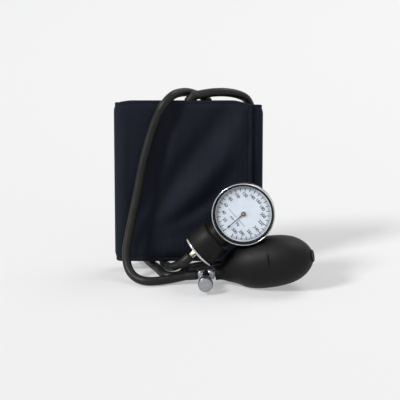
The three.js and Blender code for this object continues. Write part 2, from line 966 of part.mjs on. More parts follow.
const tailBlock = 5;

// End valve in the bulb's tail, with x along the bulb's centreline out of the tail
const endFlange = 5.4;
const endStem = tailBore - gap;
const intakeRoom = 2.6;
const intakeBallRadius = 2;

function endValve() {
  const body = cut(
    sideways(join(disc(endStem, -8, 0.5, 24), turned([
      [0, gap],
      [endFlange, gap],
      [endFlange, 0.9],
      [endFlange - 0.7, 1.4],
      [0, 1.4],
    ], 24))),
    sideways(disc(airWay, -3, 3, 10)),
    sideways(disc(intakeRoom, -9, -1.6, 16)),
  );
  const ballPlace = -1.6 - gap - intakeBallRadius;
  const ball = new THREE.SphereGeometry(intakeBallRadius, 14, 8).translate(ballPlace, 0, 0);
  const retainer = sideways(ring(intakeRoom - gap, airWay, -8, -6.9, 16));
  const group = new THREE.Group();
  group.add(
    part("end_valve_body", body, blackPlastic),
    part("intake_ball", ball, steel),
    part("intake_retainer", retainer, brass),
  );
  const along = bulbCurve.getTangentAt(1);
  group.quaternion.setFromUnitVectors(new THREE.Vector3(1, 0, 0), along);
  group.position.copy(bulbCurve.getPointAt(1));
  return group;
}

// Cuff: a strip that runs left along the front, round the left fold, right along the back, round the
// right fold, left inside the front, round the inner fold and right inside the back

const half = stripThickness / 2;
const layerDepth = [0, 1, 2, 3].map((i) => half + i * layerPitch);
const cuffDepth = layerDepth[3] + half;
const outerFold = (layerDepth[3] - layerDepth[0]) / 2;
const rightFold = (layerDepth[3] - layerDepth[1]) / 2;
const innerFold = (layerDepth[2] - layerDepth[1]) / 2;
const leftCentre = -cuffWidth / 2 + outerFold + half;
const rightCentre = cuffWidth / 2 - rightFold - half;
const spiral = [
  { from: [outerEndRight, layerDepth[0]], to: [leftCentre, layerDepth[0]] },
  { centre: [leftCentre, (layerDepth[0] + layerDepth[3]) / 2], radius: outerFold, start: -90 },
  { from: [leftCentre, layerDepth[3]], to: [rightCentre, layerDepth[3]] },
  { centre: [rightCentre, (layerDepth[1] + layerDepth[3]) / 2], radius: rightFold, start: 90 },
  { from: [rightCentre, layerDepth[1]], to: [leftCentre, layerDepth[1]] },
  { centre: [leftCentre, (layerDepth[1] + layerDepth[2]) / 2], radius: innerFold, start: -90 },
  { from: [leftCentre, layerDepth[2]], to: [innerEndRight, layerDepth[2]] },
];

function pieceLength(piece) {
  if (piece.centre) return Math.PI * piece.radius;
  return Math.abs(piece.to[0] - piece.from[0]);
}

const stripLength = spiral.reduce((sum, piece) => sum + pieceLength(piece), 0);

// The place on the strip's middle at a distance from its outer end, and the way out of the roll
function stripPoint(distance) {
  let left = distance;
  for (const piece of spiral) {
    const long = pieceLength(piece);
    if (left > long && piece !== spiral.at(-1)) {
      left -= long;
      continue;
    }
    if (piece.centre) {
      const angle = (piece.start - (left / long) * 180) * degree;
      const out = [Math.cos(angle), Math.sin(angle)];
      return { x: piece.centre[0] + piece.radius * out[0], y: piece.centre[1] + piece.radius * out[1], out };
    }
    const way = Math.sign(piece.to[0] - piece.from[0]);
    return { x: piece.from[0] + way * left, y: piece.from[1], out: [0, way] };
  }
  return null;
}

const foldSteps = 8;
const nearFold = [8, 20];

function stations(from, to) {
  const places = [from, to];
  let start = 0;
  for (const piece of spiral) {
    const long = pieceLength(piece);
    const steps = piece.centre ? foldSteps : 1;
    for (let i = 0; i <= steps; i += 1) places.push(start + (long * i) / steps);
    if (!piece.centre) places.push(...nearFold.flatMap((d) => [start + d, start + long - d]));
    start += long;
  }
  const within = places.filter((s) => s >= from && s <= to).sort((a, b) => a - b);
  return within.filter((s, i) => i === 0 || s - within[i - 1] > 0.05);
}

// A band of the roll between two offsets from the strip's middle, upright between two heights.
// The top edge droops towards both folds. The rear layers have sagged at the top and are pushed up by
// the hoses at the bottom.
function band(from, to, inner, outer, bottom, top) {
  const corners = [[inner, bottom], [outer, bottom], [outer, top], [inner, top]];
  const rings = stations(from, to).map(stripPoint).map(({ x, y, out }) =>
    corners.map(([offset, z]) => settled(x + out[0] * offset, y + out[1] * offset, z)),
  );
  return skin(rings, true);
}

function settled(x, y, z) {
  const share = x / (cuffWidth / 2);
  const back = THREE.MathUtils.smoothstep(y, 0.3 * cuffDepth, 0.9 * cuffDepth);
  const right = THREE.MathUtils.smoothstep(share, 0.58, 0.9);
  const left = THREE.MathUtils.smoothstep(-share, 0.75, 1);
  const high = z / cuffHeight;
  const sag = back * backSagged + right * rightSagged + left * leftSagged;
  return new THREE.Vector3(x, y, z + back * backRaised * (1 - high) - sag * high);
}

const bladderEnd = stripLength - 12;
const bladderStart = bladderEnd - bladderLength;
const bladderTop = cuffHeight - bladderMargin;
const ports = {
  gauge: { at: [-6.8, layerDepth[1], bladderTop], way: [0.72, 0.1, 0.69] },
  bulb: { at: [22.9, layerDepth[2], bladderTop - 0.65], way: [-0.6, 0.4, 0.69] },
};
const portReach = 16;

function alongWay(geometry, port) {
  const way = new THREE.Vector3(...port.way).normalize();
  geometry.applyQuaternion(new THREE.Quaternion().setFromUnitVectors(new THREE.Vector3(0, 0, 1), way));
  return geometry.translate(...port.at);
}

function portStub(port) {
  const stub = alongWay(barb(gap + 1.2, portReach), port);
  const below = new THREE.BoxGeometry(20, 20, 10).translate(port.at[0], port.at[1], port.at[2] + gap - 5);
  return cut(stub, below);
}

function hoseWay(port) {
  return alongWay(drill(hoseDiameter / 2 + gap, portReach - barbLength - gap, portReach + 30), port);
}

function stubWay(port) {
  return alongWay(drill(barbRadius + gap, -1, portReach), port);
}

function cuff() {
  const pocket = band(
    bladderStart - 2 * gap, bladderEnd + 2 * gap,
    -bladderThickness / 2 - gap, bladderThickness / 2 + gap,
    bladderMargin - gap, bladderTop + gap,
  );
  const hookStart = 4;
  const loopStart = stripLength - bladderLength - 30;
  const tapeRecess = (from, side) =>
    band(
      from - gap, from + tapeLength + gap,
      side * (half - tapeThickness - gap), side * (half + gap),
      tapeMargin - gap, cuffHeight - tapeMargin + gap,
    );
  const tape = (from, side) =>
    band(
      from, from + tapeLength,
      side * (half - tapeThickness), side * half,
      tapeMargin, cuffHeight - tapeMargin,
    );
  const tools = [pocket, tapeRecess(hookStart, -1), tapeRecess(loopStart, 1)];
  for (const port of Object.values(ports)) tools.push(hoseWay(port), stubWay(port));
  const sleeve = cut(band(0, stripLength, -half, half, 0, cuffHeight), ...tools);
  const bladder = band(
    bladderStart, bladderEnd, -bladderThickness / 2, bladderThickness / 2, bladderMargin, bladderTop,
  );
  const group = new THREE.Group();
  group.add(
    part("cuff_sleeve", sleeve, nylon),
    part("bladder", bladder, bladderRubber),
    part("hook_tape", tape(hookStart, -1), tapeCloth),
    part("loop_tape", tape(loopStart, 1), tapeCloth),
    part("port_gauge", portStub(ports.gauge), bladderRubber),
    part("port_bulb", portStub(ports.bulb), bladderRubber),
  );
  group.rotation.x = -cuffLean;
  group.position.z = cuffLift;
  return group;
}

// Hoses: a round tube along a route whose ends run straight over their barbs

function localPoint(group, x, y, z) {
  group.updateWorldMatrix(true, false);
  return new THREE.Vector3(x, y, z).applyMatrix4(group.matrixWorld);
}

function hose(name, steps, start, startWay, route, end, endWay) {
  const straight = barbLength + 1;
  const runIn = start.clone().addScaledVector(startWay, straight);
  const runOut = end.clone().addScaledVector(endWay, straight);
  const points = [start, runIn, ...route.map((p) => new THREE.Vector3(...p)), runOut, end];
  const curve = new THREE.CatmullRomCurve3(points, false, "centripetal");
  const section = new THREE.Shape(circle(0, 0, hoseDiameter / 2, 10).map((p) => new THREE.Vector2(...p)));
  const tube = new THREE.ExtrudeGeometry(section, { steps, extrudePath: curve, bevelEnabled: false });
  const bores = [[start, runIn], [end, runOut]].map(([mouth, inner]) => {
    const tool = drill(barbRadius + gap, -1, barbLength + gap);
    const way = inner.clone().sub(mouth).normalize();
    tool.applyQuaternion(new THREE.Quaternion().setFromUnitVectors(new THREE.Vector3(0, 0, 1), way));
    return tool.translate(mouth.x, mouth.y, mouth.z);
  });
  console.log(name, "is", curve.getLength().toFixed(0), "mm long");
  return part(name, cut(tube, ...bores), hoseRubber);
}

const sphygmomanometer = new THREE.Group();
const gaugeGroup = gauge();
const valveGroup = valve();
const cuffGroup = cuff();

function portEnd(port) {
  const way = new THREE.Vector3(...port.way).normalize();
  const root = new THREE.Vector3(...port.at).addScaledVector(way, portReach - barbLength);
  const mouth = localPoint(cuffGroup, root.x, root.y, root.z);
  const ahead = root.clone().add(way);
  return { mouth, way: localPoint(cuffGroup, ahead.x, ahead.y, ahead.z).sub(mouth) };
}

const dialGroup = gaugeGroup.children[0];
const nippleRoot = localPoint(dialGroup, nippleOffset, -(collarStart + collarLength + gap), -drumBehind);
const nippleTip = localPoint(dialGroup, nippleOffset, -nippleEnd, -drumBehind);
const valveRoot = localPoint(valveGroup, -bodyEnd - gap, 0, 0);
const valveTip = localPoint(valveGroup, -bodyEnd - barbLength, 0, 0);
const gaugePort = portEnd(ports.gauge);
const bulbPort = portEnd(ports.bulb);

sphygmomanometer.add(
  gaugeGroup,
  valveGroup,
  cuffGroup,
  part("bulb", bulbShell(), bulbRubber),
  endValve(),
  hose(
    "hose_bulb", 28, bulbPort.mouth, bulbPort.way, bulbHoseRoute,
    valveRoot, valveTip.clone().sub(valveRoot).normalize(),
  ),
  hose(
    "hose_gauge", 52, gaugePort.mouth, gaugePort.way, gaugeHoseRoute,
    nippleRoot, nippleTip.clone().sub(nippleRoot).normalize(),
  ),
);
sphygmomanometer.position.set(-middleRight, -middleAhead, 0);

export default sphygmomanometer;
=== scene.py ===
# %% [markdown]
# # A blood pressure gauge with its squeeze bulb, hoses and rolled arm cuff
#
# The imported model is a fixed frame: every visible piece is made in metres at the place that the frame
# gives it. Blender only adds what the solids leave out, such as cloth, printing, polish and rounded edges.

# %% Load the frame
import json
from math import cos, pi, radians, sin

import bmesh
import bpy
from mathutils import Matrix, Vector, noise


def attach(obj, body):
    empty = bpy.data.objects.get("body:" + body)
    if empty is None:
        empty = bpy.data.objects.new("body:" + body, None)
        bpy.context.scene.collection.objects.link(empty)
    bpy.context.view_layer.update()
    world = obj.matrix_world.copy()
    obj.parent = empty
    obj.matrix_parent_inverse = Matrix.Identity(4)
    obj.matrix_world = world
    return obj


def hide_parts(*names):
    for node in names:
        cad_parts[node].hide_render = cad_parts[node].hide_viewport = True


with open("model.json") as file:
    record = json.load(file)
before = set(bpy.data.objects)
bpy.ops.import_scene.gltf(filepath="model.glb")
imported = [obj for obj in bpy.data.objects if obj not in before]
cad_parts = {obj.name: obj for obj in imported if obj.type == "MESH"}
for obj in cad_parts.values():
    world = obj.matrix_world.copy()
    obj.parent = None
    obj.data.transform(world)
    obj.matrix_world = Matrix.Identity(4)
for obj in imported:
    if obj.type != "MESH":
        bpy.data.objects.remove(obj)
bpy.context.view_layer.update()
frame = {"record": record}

# %% [markdown]
# ## Camera
# The photograph looks slightly down on the object from the front. A long lens at 1.2 m keeps the
# dial and the cuff in nearly parallel view, as a product photographer would.

# %% Camera
CAMERA_HEIGHT = radians(18)
CAMERA_DISTANCE = 1.2
TARGET = Vector((-0.0115, 0.0095, 0.0686))

away = Vector((0, -cos(CAMERA_HEIGHT), sin(CAMERA_HEIGHT))) * CAMERA_DISTANCE
bpy.ops.object.camera_add(location=TARGET + away, rotation=(pi / 2 - CAMERA_HEIGHT, 0, 0))
camera = bpy.context.object
camera.name = "camera"
camera.data.lens = 120
camera.data.sensor_width = 36
bpy.context.scene.camera = camera
print("camera at", [round(x, 3) for x in camera.location])

# %% [markdown]
# ## Places on the object
# The gauge, the valve and the cuff each lean a little. Their own axes are written down once, so that
# a dial or a screw can be modelled upright at the origin and then be put in its place.

# %% Places
MIDDLE = Vector((21.9, -9.5, 0))


def shifted(x, y, z):
    """A design point in millimetres as a point of the frame in metres"""
    return (Vector((x, y, z)) - MIDDLE) / 1000


def turn(degrees, axis):
    return Matrix.Rotation(radians(degrees), 4, axis)


GAUGE = Matrix.Translation(shifted(48, -42.6, 68.8)) @ turn(-4, "Z") @ turn(83, "X") @ turn(-47.8, "Z")
VALVE = Matrix.Translation(shifted(15.9, -30.8, 9.2)) @ turn(-1.5, "Z") @ turn(-6, "Y")
CUFF = Matrix.Translation(shifted(0, 0, 9.5)) @ turn(-9, "X")
print("dial centre", [round(x * 1000, 1) for x in GAUGE.translation], "mm")

# %% [markdown]
# ## Hoses
# Two rubber hoses of 7.8 mm leave the cuff's top edge. One goes down the front to the release valve,
# the other goes behind the cuff, makes a loop on the table and ends on the gauge's nipple. A real
# hose has one length and no sharp bends, so a smooth curve goes through the points of a given
# route. Rings of points along it make the tube, which swells where it is pushed over a barb.

# %% Hose routes
HOSE = 0.0078
BARB_RUN = 0.009
STUB_LENGTH = 0.008

bulb_route = [
    (7.2, 41, 156), (1, 39.2, 158.3), (-6, 33, 160), (-14.6, 21.4, 159.6), (-22.7, 15.6, 151.7),
    (-29.9, 14.8, 137.2), (-36.7, 11, 116.9), (-41.2, 7, 99.4), (-45.4, 2, 77.4), (-49.5, -3, 58.2),
    (-53.5, -9, 38.4), (-55.8, -13.5, 25.7), (-55.3, -18.4, 15.6), (-52.1, -24, 8.6), (-45.9, -30.4, 5),
    (-37.6, -35, 4.1), (-27, -34.6, 4.1), (-16.4, -31.8, 4.6),
]
gauge_route = [
    (10.6, 30.6, 158.6), (21.2, 31.2, 160.2), (32.9, 33, 160.1), (44.9, 38.5, 156.7), (53, 43.6, 151),
    (57, 45.2, 142), (58.2, 43.8, 128), (57.6, 41.6, 108), (56.4, 38.6, 84), (55.4, 35.4, 60),
    (55, 34, 40), (54.9, 33.8, 26), (54.2, 33, 15.6), (51.9, 30, 8.4), (47.6, 24.6, 4.6),
    (40.6, 17.6, 4.1), (32, 11.6, 4.1), (22.6, 7.4, 4.1), (12.8, 4.4, 4.1), (3.8, -0.2, 4.1),
    (-2.4, -6.4, 4.1), (-4.7, -14, 4.1), (-8, -20, 4.1), (-14.3, -22.8, 4.1), (-20.6, -20, 4.1),
    (-24.4, -13, 4.1), (-27.8, -4, 4.1), (-32.2, 5, 4.1), (-37.8, 18, 4.1), (-43.4, 34, 4.1),
    (-44, 50, 4.1), (-35.4, 62.4, 4.1), (-21.6, 62, 4.1), (-14, 49, 4.1), (-17.6, 33.6, 4.1),
    (-23, 20, 4.1), (-22.6, 9.6, 4.1), (-18.6, -0.4, 4.7), (-14.6, -11.6, 8.6), (-11.2, -23, 14.2),
]
GAUGE_PORT = Vector((-6.8, 5.9, 139)) / 1000
GAUGE_PORT_WAY = Vector((0.72, 0.1, 0.69)).normalized()
BULB_PORT = Vector((22.9, 10.1, 138.35)) / 1000
BULB_PORT_WAY = Vector((-0.6, 0.4, 0.69)).normalized()
print("routes with", len(bulb_route), "and", len(gauge_route), "points")

# %% Smooth lines through the routes
def with_ends(route, start, start_way, end, end_way):
    """The route with straight runs over the barbs at its two ends"""
    middle = [shifted(*point) for point in route]
    return [start, start + start_way * BARB_RUN, *middle, end + end_way * BARB_RUN, end]


def smooth_line(points, steps=8):
    """Points on the centripetal curve through all the given ones"""
    ends = [points[0] * 2 - points[1], *points, points[-1] * 2 - points[-2]]
    line = []
    for a, b, c, d in zip(ends, ends[1:], ends[2:], ends[3:]):
        before, here, after = ((b - a).length ** 0.5, (c - b).length ** 0.5, (d - c).length ** 0.5)
        leave = ((b - a) / before - (c - a) / (before + here) + (c - b) / here) * here
        arrive = ((c - b) / here - (d - b) / (here + after) + (d - c) / after) * here
        for step in range(steps):
            t = step / steps
            bend = (c - b) * 3 - leave * 2 - arrive
            swing = (b - c) * 2 + leave + arrive
            line.append(b + leave * t + bend * t**2 + swing * t**3)
    return [*line, points[-1]]


def line_length(line):
    return sum((b - a).length for a, b in zip(line, line[1:]))


def out_of_cuff(port, way):
    """Where a hose starts over a stub of the bladder, and the way in which it leaves"""
    return CUFF @ (port + way * STUB_LENGTH), CUFF.to_3x3() @ way


nipple_root = GAUGE @ Vector((-0.0012, -0.0615, -0.0107))
nipple_way = -(GAUGE.to_3x3() @ Vector((0, 1, 0)))
valve_root = VALVE @ Vector((-0.0075, 0, 0))
valve_way = -(VALVE.to_3x3() @ Vector((1, 0, 0)))
bulb_line = smooth_line(
    with_ends(bulb_route, *out_of_cuff(BULB_PORT, BULB_PORT_WAY), valve_root, valve_way)
)
gauge_line = smooth_line(
    with_ends(gauge_route, *out_of_cuff(GAUGE_PORT, GAUGE_PORT_WAY), nipple_root, nipple_way)
)
print("hoses", [round(line_length(line) * 1000) for line in (bulb_line, gauge_line)], "mm")

# %% Hoses
def smoothstep(value, start, end):
    t = min(max((value - start) / (end - start), 0), 1)
    return t * t * (3 - 2 * t)


HOSE_SIDES = 32
SWELL = 0.13
SWELL_END = (0.0065, 0.012)
CUT_EDGE = 0.0008
CUT_SHARE = 0.14


def hose_radius(near):
    """The tube swells over the barb, and its cut edge is a little rounded"""
    swell = 1 + SWELL * (1 - smoothstep(near, *SWELL_END))
    return HOSE / 2 * swell * (1 - CUT_SHARE + CUT_SHARE * min(near / CUT_EDGE, 1) ** 0.5)


def hose(name, line):
    """A round tube along a line. Its UV map runs along and round it, for marks that follow the tube"""
    long = line_length(line)
    shape = bmesh.new()
    skin = shape.loops.layers.uv.new("skin")
    rings, runs = [], []
    side, run = Vector((0, 0, -1)), 0
    for i, place in enumerate(line):
        run += (place - line[i - 1]).length if i else 0
        along = (line[min(i + 1, len(line) - 1)] - line[max(i - 1, 0)]).normalized()
        side = (side - along * side.dot(along)).normalized()
        other = along.cross(side)
        wide = hose_radius(min(run, long - run))
        turns = [2 * pi * j / HOSE_SIDES for j in range(HOSE_SIDES)]
        spots = [place + side * wide * cos(a) + other * wide * sin(a) for a in turns]
        rings.append([shape.verts.new(spot) for spot in spots])
        runs.append(run)
    for i in range(len(rings) - 1):
        for j in range(HOSE_SIDES):
            k = (j + 1) % HOSE_SIDES
            face = shape.faces.new((rings[i][j], rings[i][k], rings[i + 1][k], rings[i + 1][j]))
            face.smooth = True
            corners = ((runs[i], j), (runs[i], j + 1), (runs[i + 1], j + 1), (runs[i + 1], j))
            for loop, (u, v) in zip(face.loops, corners):
                loop[skin].uv = (u, v / HOSE_SIDES)
    shape.faces.new(reversed(rings[0]))
    shape.faces.new(rings[-1])
    mesh = bpy.data.meshes.new(name)
    shape.to_mesh(mesh)
    shape.free()
    made = bpy.data.objects.new(name, mesh)
    bpy.context.collection.objects.link(made)
    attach(made, "instrument")
    return made


bulb_hose = hose("bulb_hose_rubber", bulb_line)
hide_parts("hose_bulb")
gauge_hose = hose("gauge_hose_rubber", gauge_line)
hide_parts("hose_gauge")
print("made", bulb_hose.name, gauge_hose.name)

# %% [markdown]
# ## Finishes
# A finish starts as one Principled shader with its plain values on its own sockets. Small helpers
# then add what real surfaces have: colour that varies, gloss that varies, and fine relief.

# %% Colours and shader nodes
def tone(*levels):
    """A colour as a painter's 0 to 255 levels, made linear"""
    shares = [level / 255 for level in levels]
    return tuple(s / 12.92 if s <= 0.04045 else ((s + 0.055) / 1.055) ** 2.4 for s in shares)


def shader_of(finish):
    return finish.node_tree.nodes["Principled BSDF"]


def new_finish(name, colour, roughness, metallic=0.0, **sockets):
    """A material with plain values on its Principled shader. An underscore stands for a socket's space"""
    finish = bpy.data.materials.new(name)
    finish.use_nodes = True
    inputs = shader_of(finish).inputs
    inputs["Base Color"].default_value = (*colour, 1)
    inputs["Roughness"].default_value = roughness
    inputs["Metallic"].default_value = metallic
    for socket, value in sockets.items():
        inputs[socket.replace("_", " ")].default_value = value
    return finish


def add_node(finish, kind, values=None, **settings):
    """A node in a material or a world, with values on its sockets and settings of its own"""
    made = finish.node_tree.nodes.new(kind)
    for setting, value in settings.items():
        setattr(made, setting, value)
    for socket, value in (values or {}).items():
        made.inputs[socket].default_value = value
    return made


def wire(finish, source, target):
    finish.node_tree.links.new(source, target)


def show_surface(finish, shader):
    wire(finish, shader, finish.node_tree.nodes["Material Output"].inputs["Surface"])


def coat_with(obj, finish):
    obj.data.materials.clear()
    obj.data.materials.append(finish)


print("node helpers ready")

# %% [markdown]
# Most patterns here are noises. A noise reads coordinates, gives a value about 0.5, and a map range
# spreads the part that matters over the values wanted. A slow noise suits colour, a fine one gloss.

# %% Patterns and values
def place_pattern(finish, source="Object", scale=(1, 1, 1)):
    """Coordinates for a pattern, from the object or its own UV map"""
    start = add_node(finish, "ShaderNodeTexCoord")
    mapping = add_node(finish, "ShaderNodeMapping", {"Scale": scale})
    wire(finish, start.outputs[source], mapping.inputs["Vector"])
    return mapping.outputs["Vector"]


def grain(finish, where, size, detail=4, rough=0.55):
    """A noise whose spots are about as large as size, in metres"""
    made = add_node(finish, "ShaderNodeTexNoise", {"Scale": 1 / size, "Detail": detail, "Roughness": rough})
    wire(finish, where, made.inputs["Vector"])
    return made.outputs["Fac"]


def spread(finish, source, low, high, start=0.35, end=0.65):
    """A value that goes from low to high as the source goes from start to end"""
    made = add_node(
        finish, "ShaderNodeMapRange", {"From Min": start, "From Max": end, "To Min": low, "To Max": high}
    )
    wire(finish, source, made.inputs["Value"])
    return made.outputs["Result"]


def blend_colours(finish, amount, first, second):
    """The first colour where the amount is 0, and the second where it is 1"""
    made = add_node(finish, "ShaderNodeMix", data_type="RGBA")
    for socket, colour in ((6, first), (7, second)):
        if hasattr(colour, "is_output"):
            wire(finish, colour, made.inputs[socket])
        else:
            made.inputs[socket].default_value = (*colour, 1)
    wire(finish, amount, made.inputs["Factor"])
    return made.outputs[2]


def calculate(finish, how, first, second):
    """A sum, product or the like of two values, each a plain number or a node's output"""
    made = add_node(finish, "ShaderNodeMath", operation=how)
    for socket, value in enumerate((first, second)):
        if hasattr(value, "is_output"):
            wire(finish, value, made.inputs[socket])
        else:
            made.inputs[socket].default_value = value
    return made.outputs[0]


def weighted(finish, *parts):
    """The sum of some values, each times its own weight"""
    total = None
    for source, weight in parts:
        product = calculate(finish, "MULTIPLY", source, weight)
        total = product if total is None else calculate(finish, "ADD", total, product)
    return total


print("pattern helpers ready")

# %% Mixed shaders, relief and whole finishes
def choose(finish, amount, first, second):
    """The first shader where the amount is 0, and the second where it is 1"""
    made = add_node(finish, "ShaderNodeMixShader")
    for socket, source in (("Fac", amount), (1, first), (2, second)):
        wire(finish, source, made.inputs[socket])
    return made.outputs["Shader"]


def relief(finish, height, depth, below=None):
    """Bumps of a depth in metres, laid over the ones below"""
    made = add_node(finish, "ShaderNodeBump", {"Strength": 1.0, "Distance": depth})
    wire(finish, height, made.inputs["Height"])
    if below is not None:
        wire(finish, below, made.inputs["Normal"])
    return made.outputs["Normal"]


def finish_with(finish, colour, roughness, normal):
    """Leads the patterns to the shader"""
    for socket, source in (("Base Color", colour), ("Roughness", roughness), ("Normal", normal)):
        wire(finish, source, shader_of(finish).inputs[socket])
    return finish


def simple_finish(name, light, dark, roughness, metallic, size, fine, depth, **sockets):
    """A finish whose colour and gloss drift between two values, with a fine relief"""
    finish = new_finish(name, light, sum(roughness) / 2, metallic, **sockets)
    where = place_pattern(finish)
    drift = grain(finish, where, size)
    grit = grain(finish, where, fine, detail=2)
    return finish_with(
        finish,
        blend_colours(finish, spread(finish, drift, 0, 1), dark, light),
        spread(finish, grit, *roughness),
        relief(finish, grit, depth),
    )


print("finish helpers ready")

# %% [markdown]
# ### Metals, enamel and plastics
# Chrome is smooth but never perfect, so its gloss drifts a little and hairline rub marks cross it.
# Brass and steel inside the gauge are turned and dull. The case is a satin black enamel.

# %% Metals
chrome = simple_finish(
    "bright_chrome", tone(204, 206, 209), tone(184, 186, 191), (0.1, 0.17), 1.0, 0.006, 0.0007, 4e-6
)
nickel = simple_finish(
    "warm_nickel", tone(176, 169, 149), tone(142, 135, 117), (0.2, 0.34), 1.0, 0.003, 0.0005, 1e-5
)
brass = simple_finish(
    "turned_brass", tone(186, 150, 88), tone(146, 112, 60), (0.22, 0.4), 1.0, 0.002, 0.0003, 1e-5
)
steel = simple_finish(
    "turned_steel", tone(168, 170, 173), tone(138, 140, 144), (0.24, 0.42), 1.0, 0.002, 0.0003, 1e-5
)
case_enamel = simple_finish(
    "satin_black_enamel", tone(18, 18, 18), tone(12, 12, 12), (0.42, 0.56), 0.0, 0.012, 0.0009, 3e-5,
    Specular_IOR_Level=0.16,
)
black_plastic = simple_finish(
    "black_moulded_plastic", tone(13, 13, 14), tone(8, 8, 9), (0.45, 0.6), 0.0, 0.008, 0.0006, 2e-5,
    Specular_IOR_Level=0.15,
)
pale_brass = simple_finish(
    "pale_brass", tone(182, 164, 122), tone(150, 132, 92), (0.25, 0.4), 1.0, 0.002, 0.0003, 1e-5
)
pointer_lacquer = simple_finish(
    "black_pointer_lacquer", tone(16, 16, 17), tone(9, 9, 10), (0.35, 0.45), 0.0, 0.004, 0.0004, 5e-6,
    Specular_IOR_Level=0.3,
)
print("metals and enamel:", chrome.name, nickel.name, brass.name, steel.name, case_enamel.name)

# %% [markdown]
# ### Hose rubber
# Extruded tubing is dark grey with a satin skin. The extruder leaves faint lines along it, and bloom
# from the rubber leaves lighter patches. The lines are a noise drawn out along the tube's own UV map.

# %% Hose rubber
hose_rubber = new_finish("satin_hose_rubber", tone(26, 26, 25), 0.42, 0.0, Specular_IOR_Level=0.25)
where = place_pattern(hose_rubber)
bloom = grain(hose_rubber, where, 0.014, detail=5)
skin = grain(hose_rubber, where, 0.0007, detail=3)
lines = grain(hose_rubber, place_pattern(hose_rubber, "UV", (14, 34, 1)), 1.0, detail=3)
finish_with(
    hose_rubber,
    blend_colours(
        hose_rubber,
        spread(hose_rubber, weighted(hose_rubber, (bloom, 1), (lines, 0.35)), 0, 1, 0.5, 0.85),
        tone(18, 18, 17), tone(29, 29, 27),
    ),
    spread(hose_rubber, bloom, 0.36, 0.52, 0.3, 0.7),
    relief(hose_rubber, lines, 4e-5, relief(hose_rubber, skin, 2.5e-5)),
)
for tube in (bulb_hose, gauge_hose):
    coat_with(tube, hose_rubber)
print("coated the hoses")

# %% [markdown]
# ## Modelling helpers
# An operator acts on what is selected and active, so each helper first selects its own piece alone. A
# finished piece keeps its place in its mesh, and its object stays at the origin.

# %% Selecting, copying and placing
def deselect_all():
    bpy.ops.object.select_all(action="DESELECT")


def select_only(obj):
    deselect_all()
    obj.select_set(True)
    bpy.context.view_layer.objects.active = obj


def own_copy(obj):
    """A copy of a piece with its own mesh"""
    copy = obj.copy()
    copy.data = obj.data.copy()
    bpy.context.collection.objects.link(copy)
    return copy


def edit():
    bpy.ops.object.mode_set(mode="EDIT")
    bpy.ops.mesh.select_all(action="SELECT")


def done():
    bpy.ops.object.mode_set(mode="OBJECT")
    return bpy.context.object


def settle(obj, place):
    """Puts a piece made at the origin in its place, with the place in its mesh"""
    select_only(obj)
    obj.matrix_world = place @ obj.matrix_world
    bpy.ops.object.transform_apply(location=True, rotation=True, scale=True)
    return obj


def smooth(obj, angle=35):
    select_only(obj)
    bpy.ops.object.shade_smooth_by_angle(angle=radians(angle))
    return obj


def apply_modifier(obj, modifier):
    select_only(obj)
    bpy.ops.object.modifier_apply(modifier=modifier.name)


def round_edges(obj, width, segments=3, angle=30):
    bevel = obj.modifiers.new("rounded", "BEVEL")
    bevel.width = width
    bevel.segments = segments
    bevel.limit_method = "ANGLE"
    bevel.angle_limit = radians(angle)
    apply_modifier(obj, bevel)
    return obj


print("placing helpers ready")

# %% [markdown]
# Most rigid pieces were made on a lathe. A lathe profile is drawn by extruding one vertex from
# corner to corner and is then spun about the z axis, which gives round pieces of any profile.

# %% Lathe pieces
def mm(*values):
    return tuple(v / 1000 for v in values)


def spun(name, profile, steps=96):
    """A lathe piece about z. The profile is a list of (radius, height) corners in millimetres"""
    deselect_all()
    bpy.ops.mesh.primitive_plane_add(size=0.001)
    made = bpy.context.object
    made.name = made.data.name = name
    edit()
    bpy.ops.mesh.merge(type="CENTER")
    bpy.ops.transform.translate(value=mm(profile[0][0], 0, profile[0][1]))
    for (r0, z0), (r1, z1) in zip(profile, profile[1:]):
        step = {"value": mm(r1 - r0, 0, z1 - z0)}
        bpy.ops.mesh.extrude_region_move(TRANSFORM_OT_translate=step)
    bpy.ops.mesh.select_all(action="SELECT")
    bpy.ops.mesh.spin(steps=steps, angle=2 * pi, center=(0, 0, 0), axis=(0, 0, 1))
    bpy.ops.mesh.select_all(action="SELECT")
    bpy.ops.mesh.remove_doubles(threshold=2e-6)
    bpy.ops.mesh.normals_make_consistent(inside=False)
    return done()


def fuse(name, *pieces):
    """Joins pieces into one object"""
    deselect_all()
    for piece in pieces:
        piece.select_set(True)
    bpy.context.view_layer.objects.active = pieces[0]
    bpy.ops.object.join()
    pieces[0].name = pieces[0].data.name = name
    return pieces[0]


def dress(obj, finish, slot, body, *nodes):
    """Gives a finished piece its coat, its body and the nodes it stands for; its slot is not used"""
    coat_with(obj, finish)
    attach(obj, body)
    if nodes:
        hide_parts(*nodes)
    print(obj.name, len(obj.data.polygons), "faces")
    return obj


TO_MINUS_Y = turn(90, "X")
TO_PLUS_X = turn(90, "Y")
DRUM_BEHIND = Matrix.Translation(mm(0, 0, -10.7)) @ TO_MINUS_Y
DRUM = GAUGE @ DRUM_BEHIND
print("lathe helpers ready")
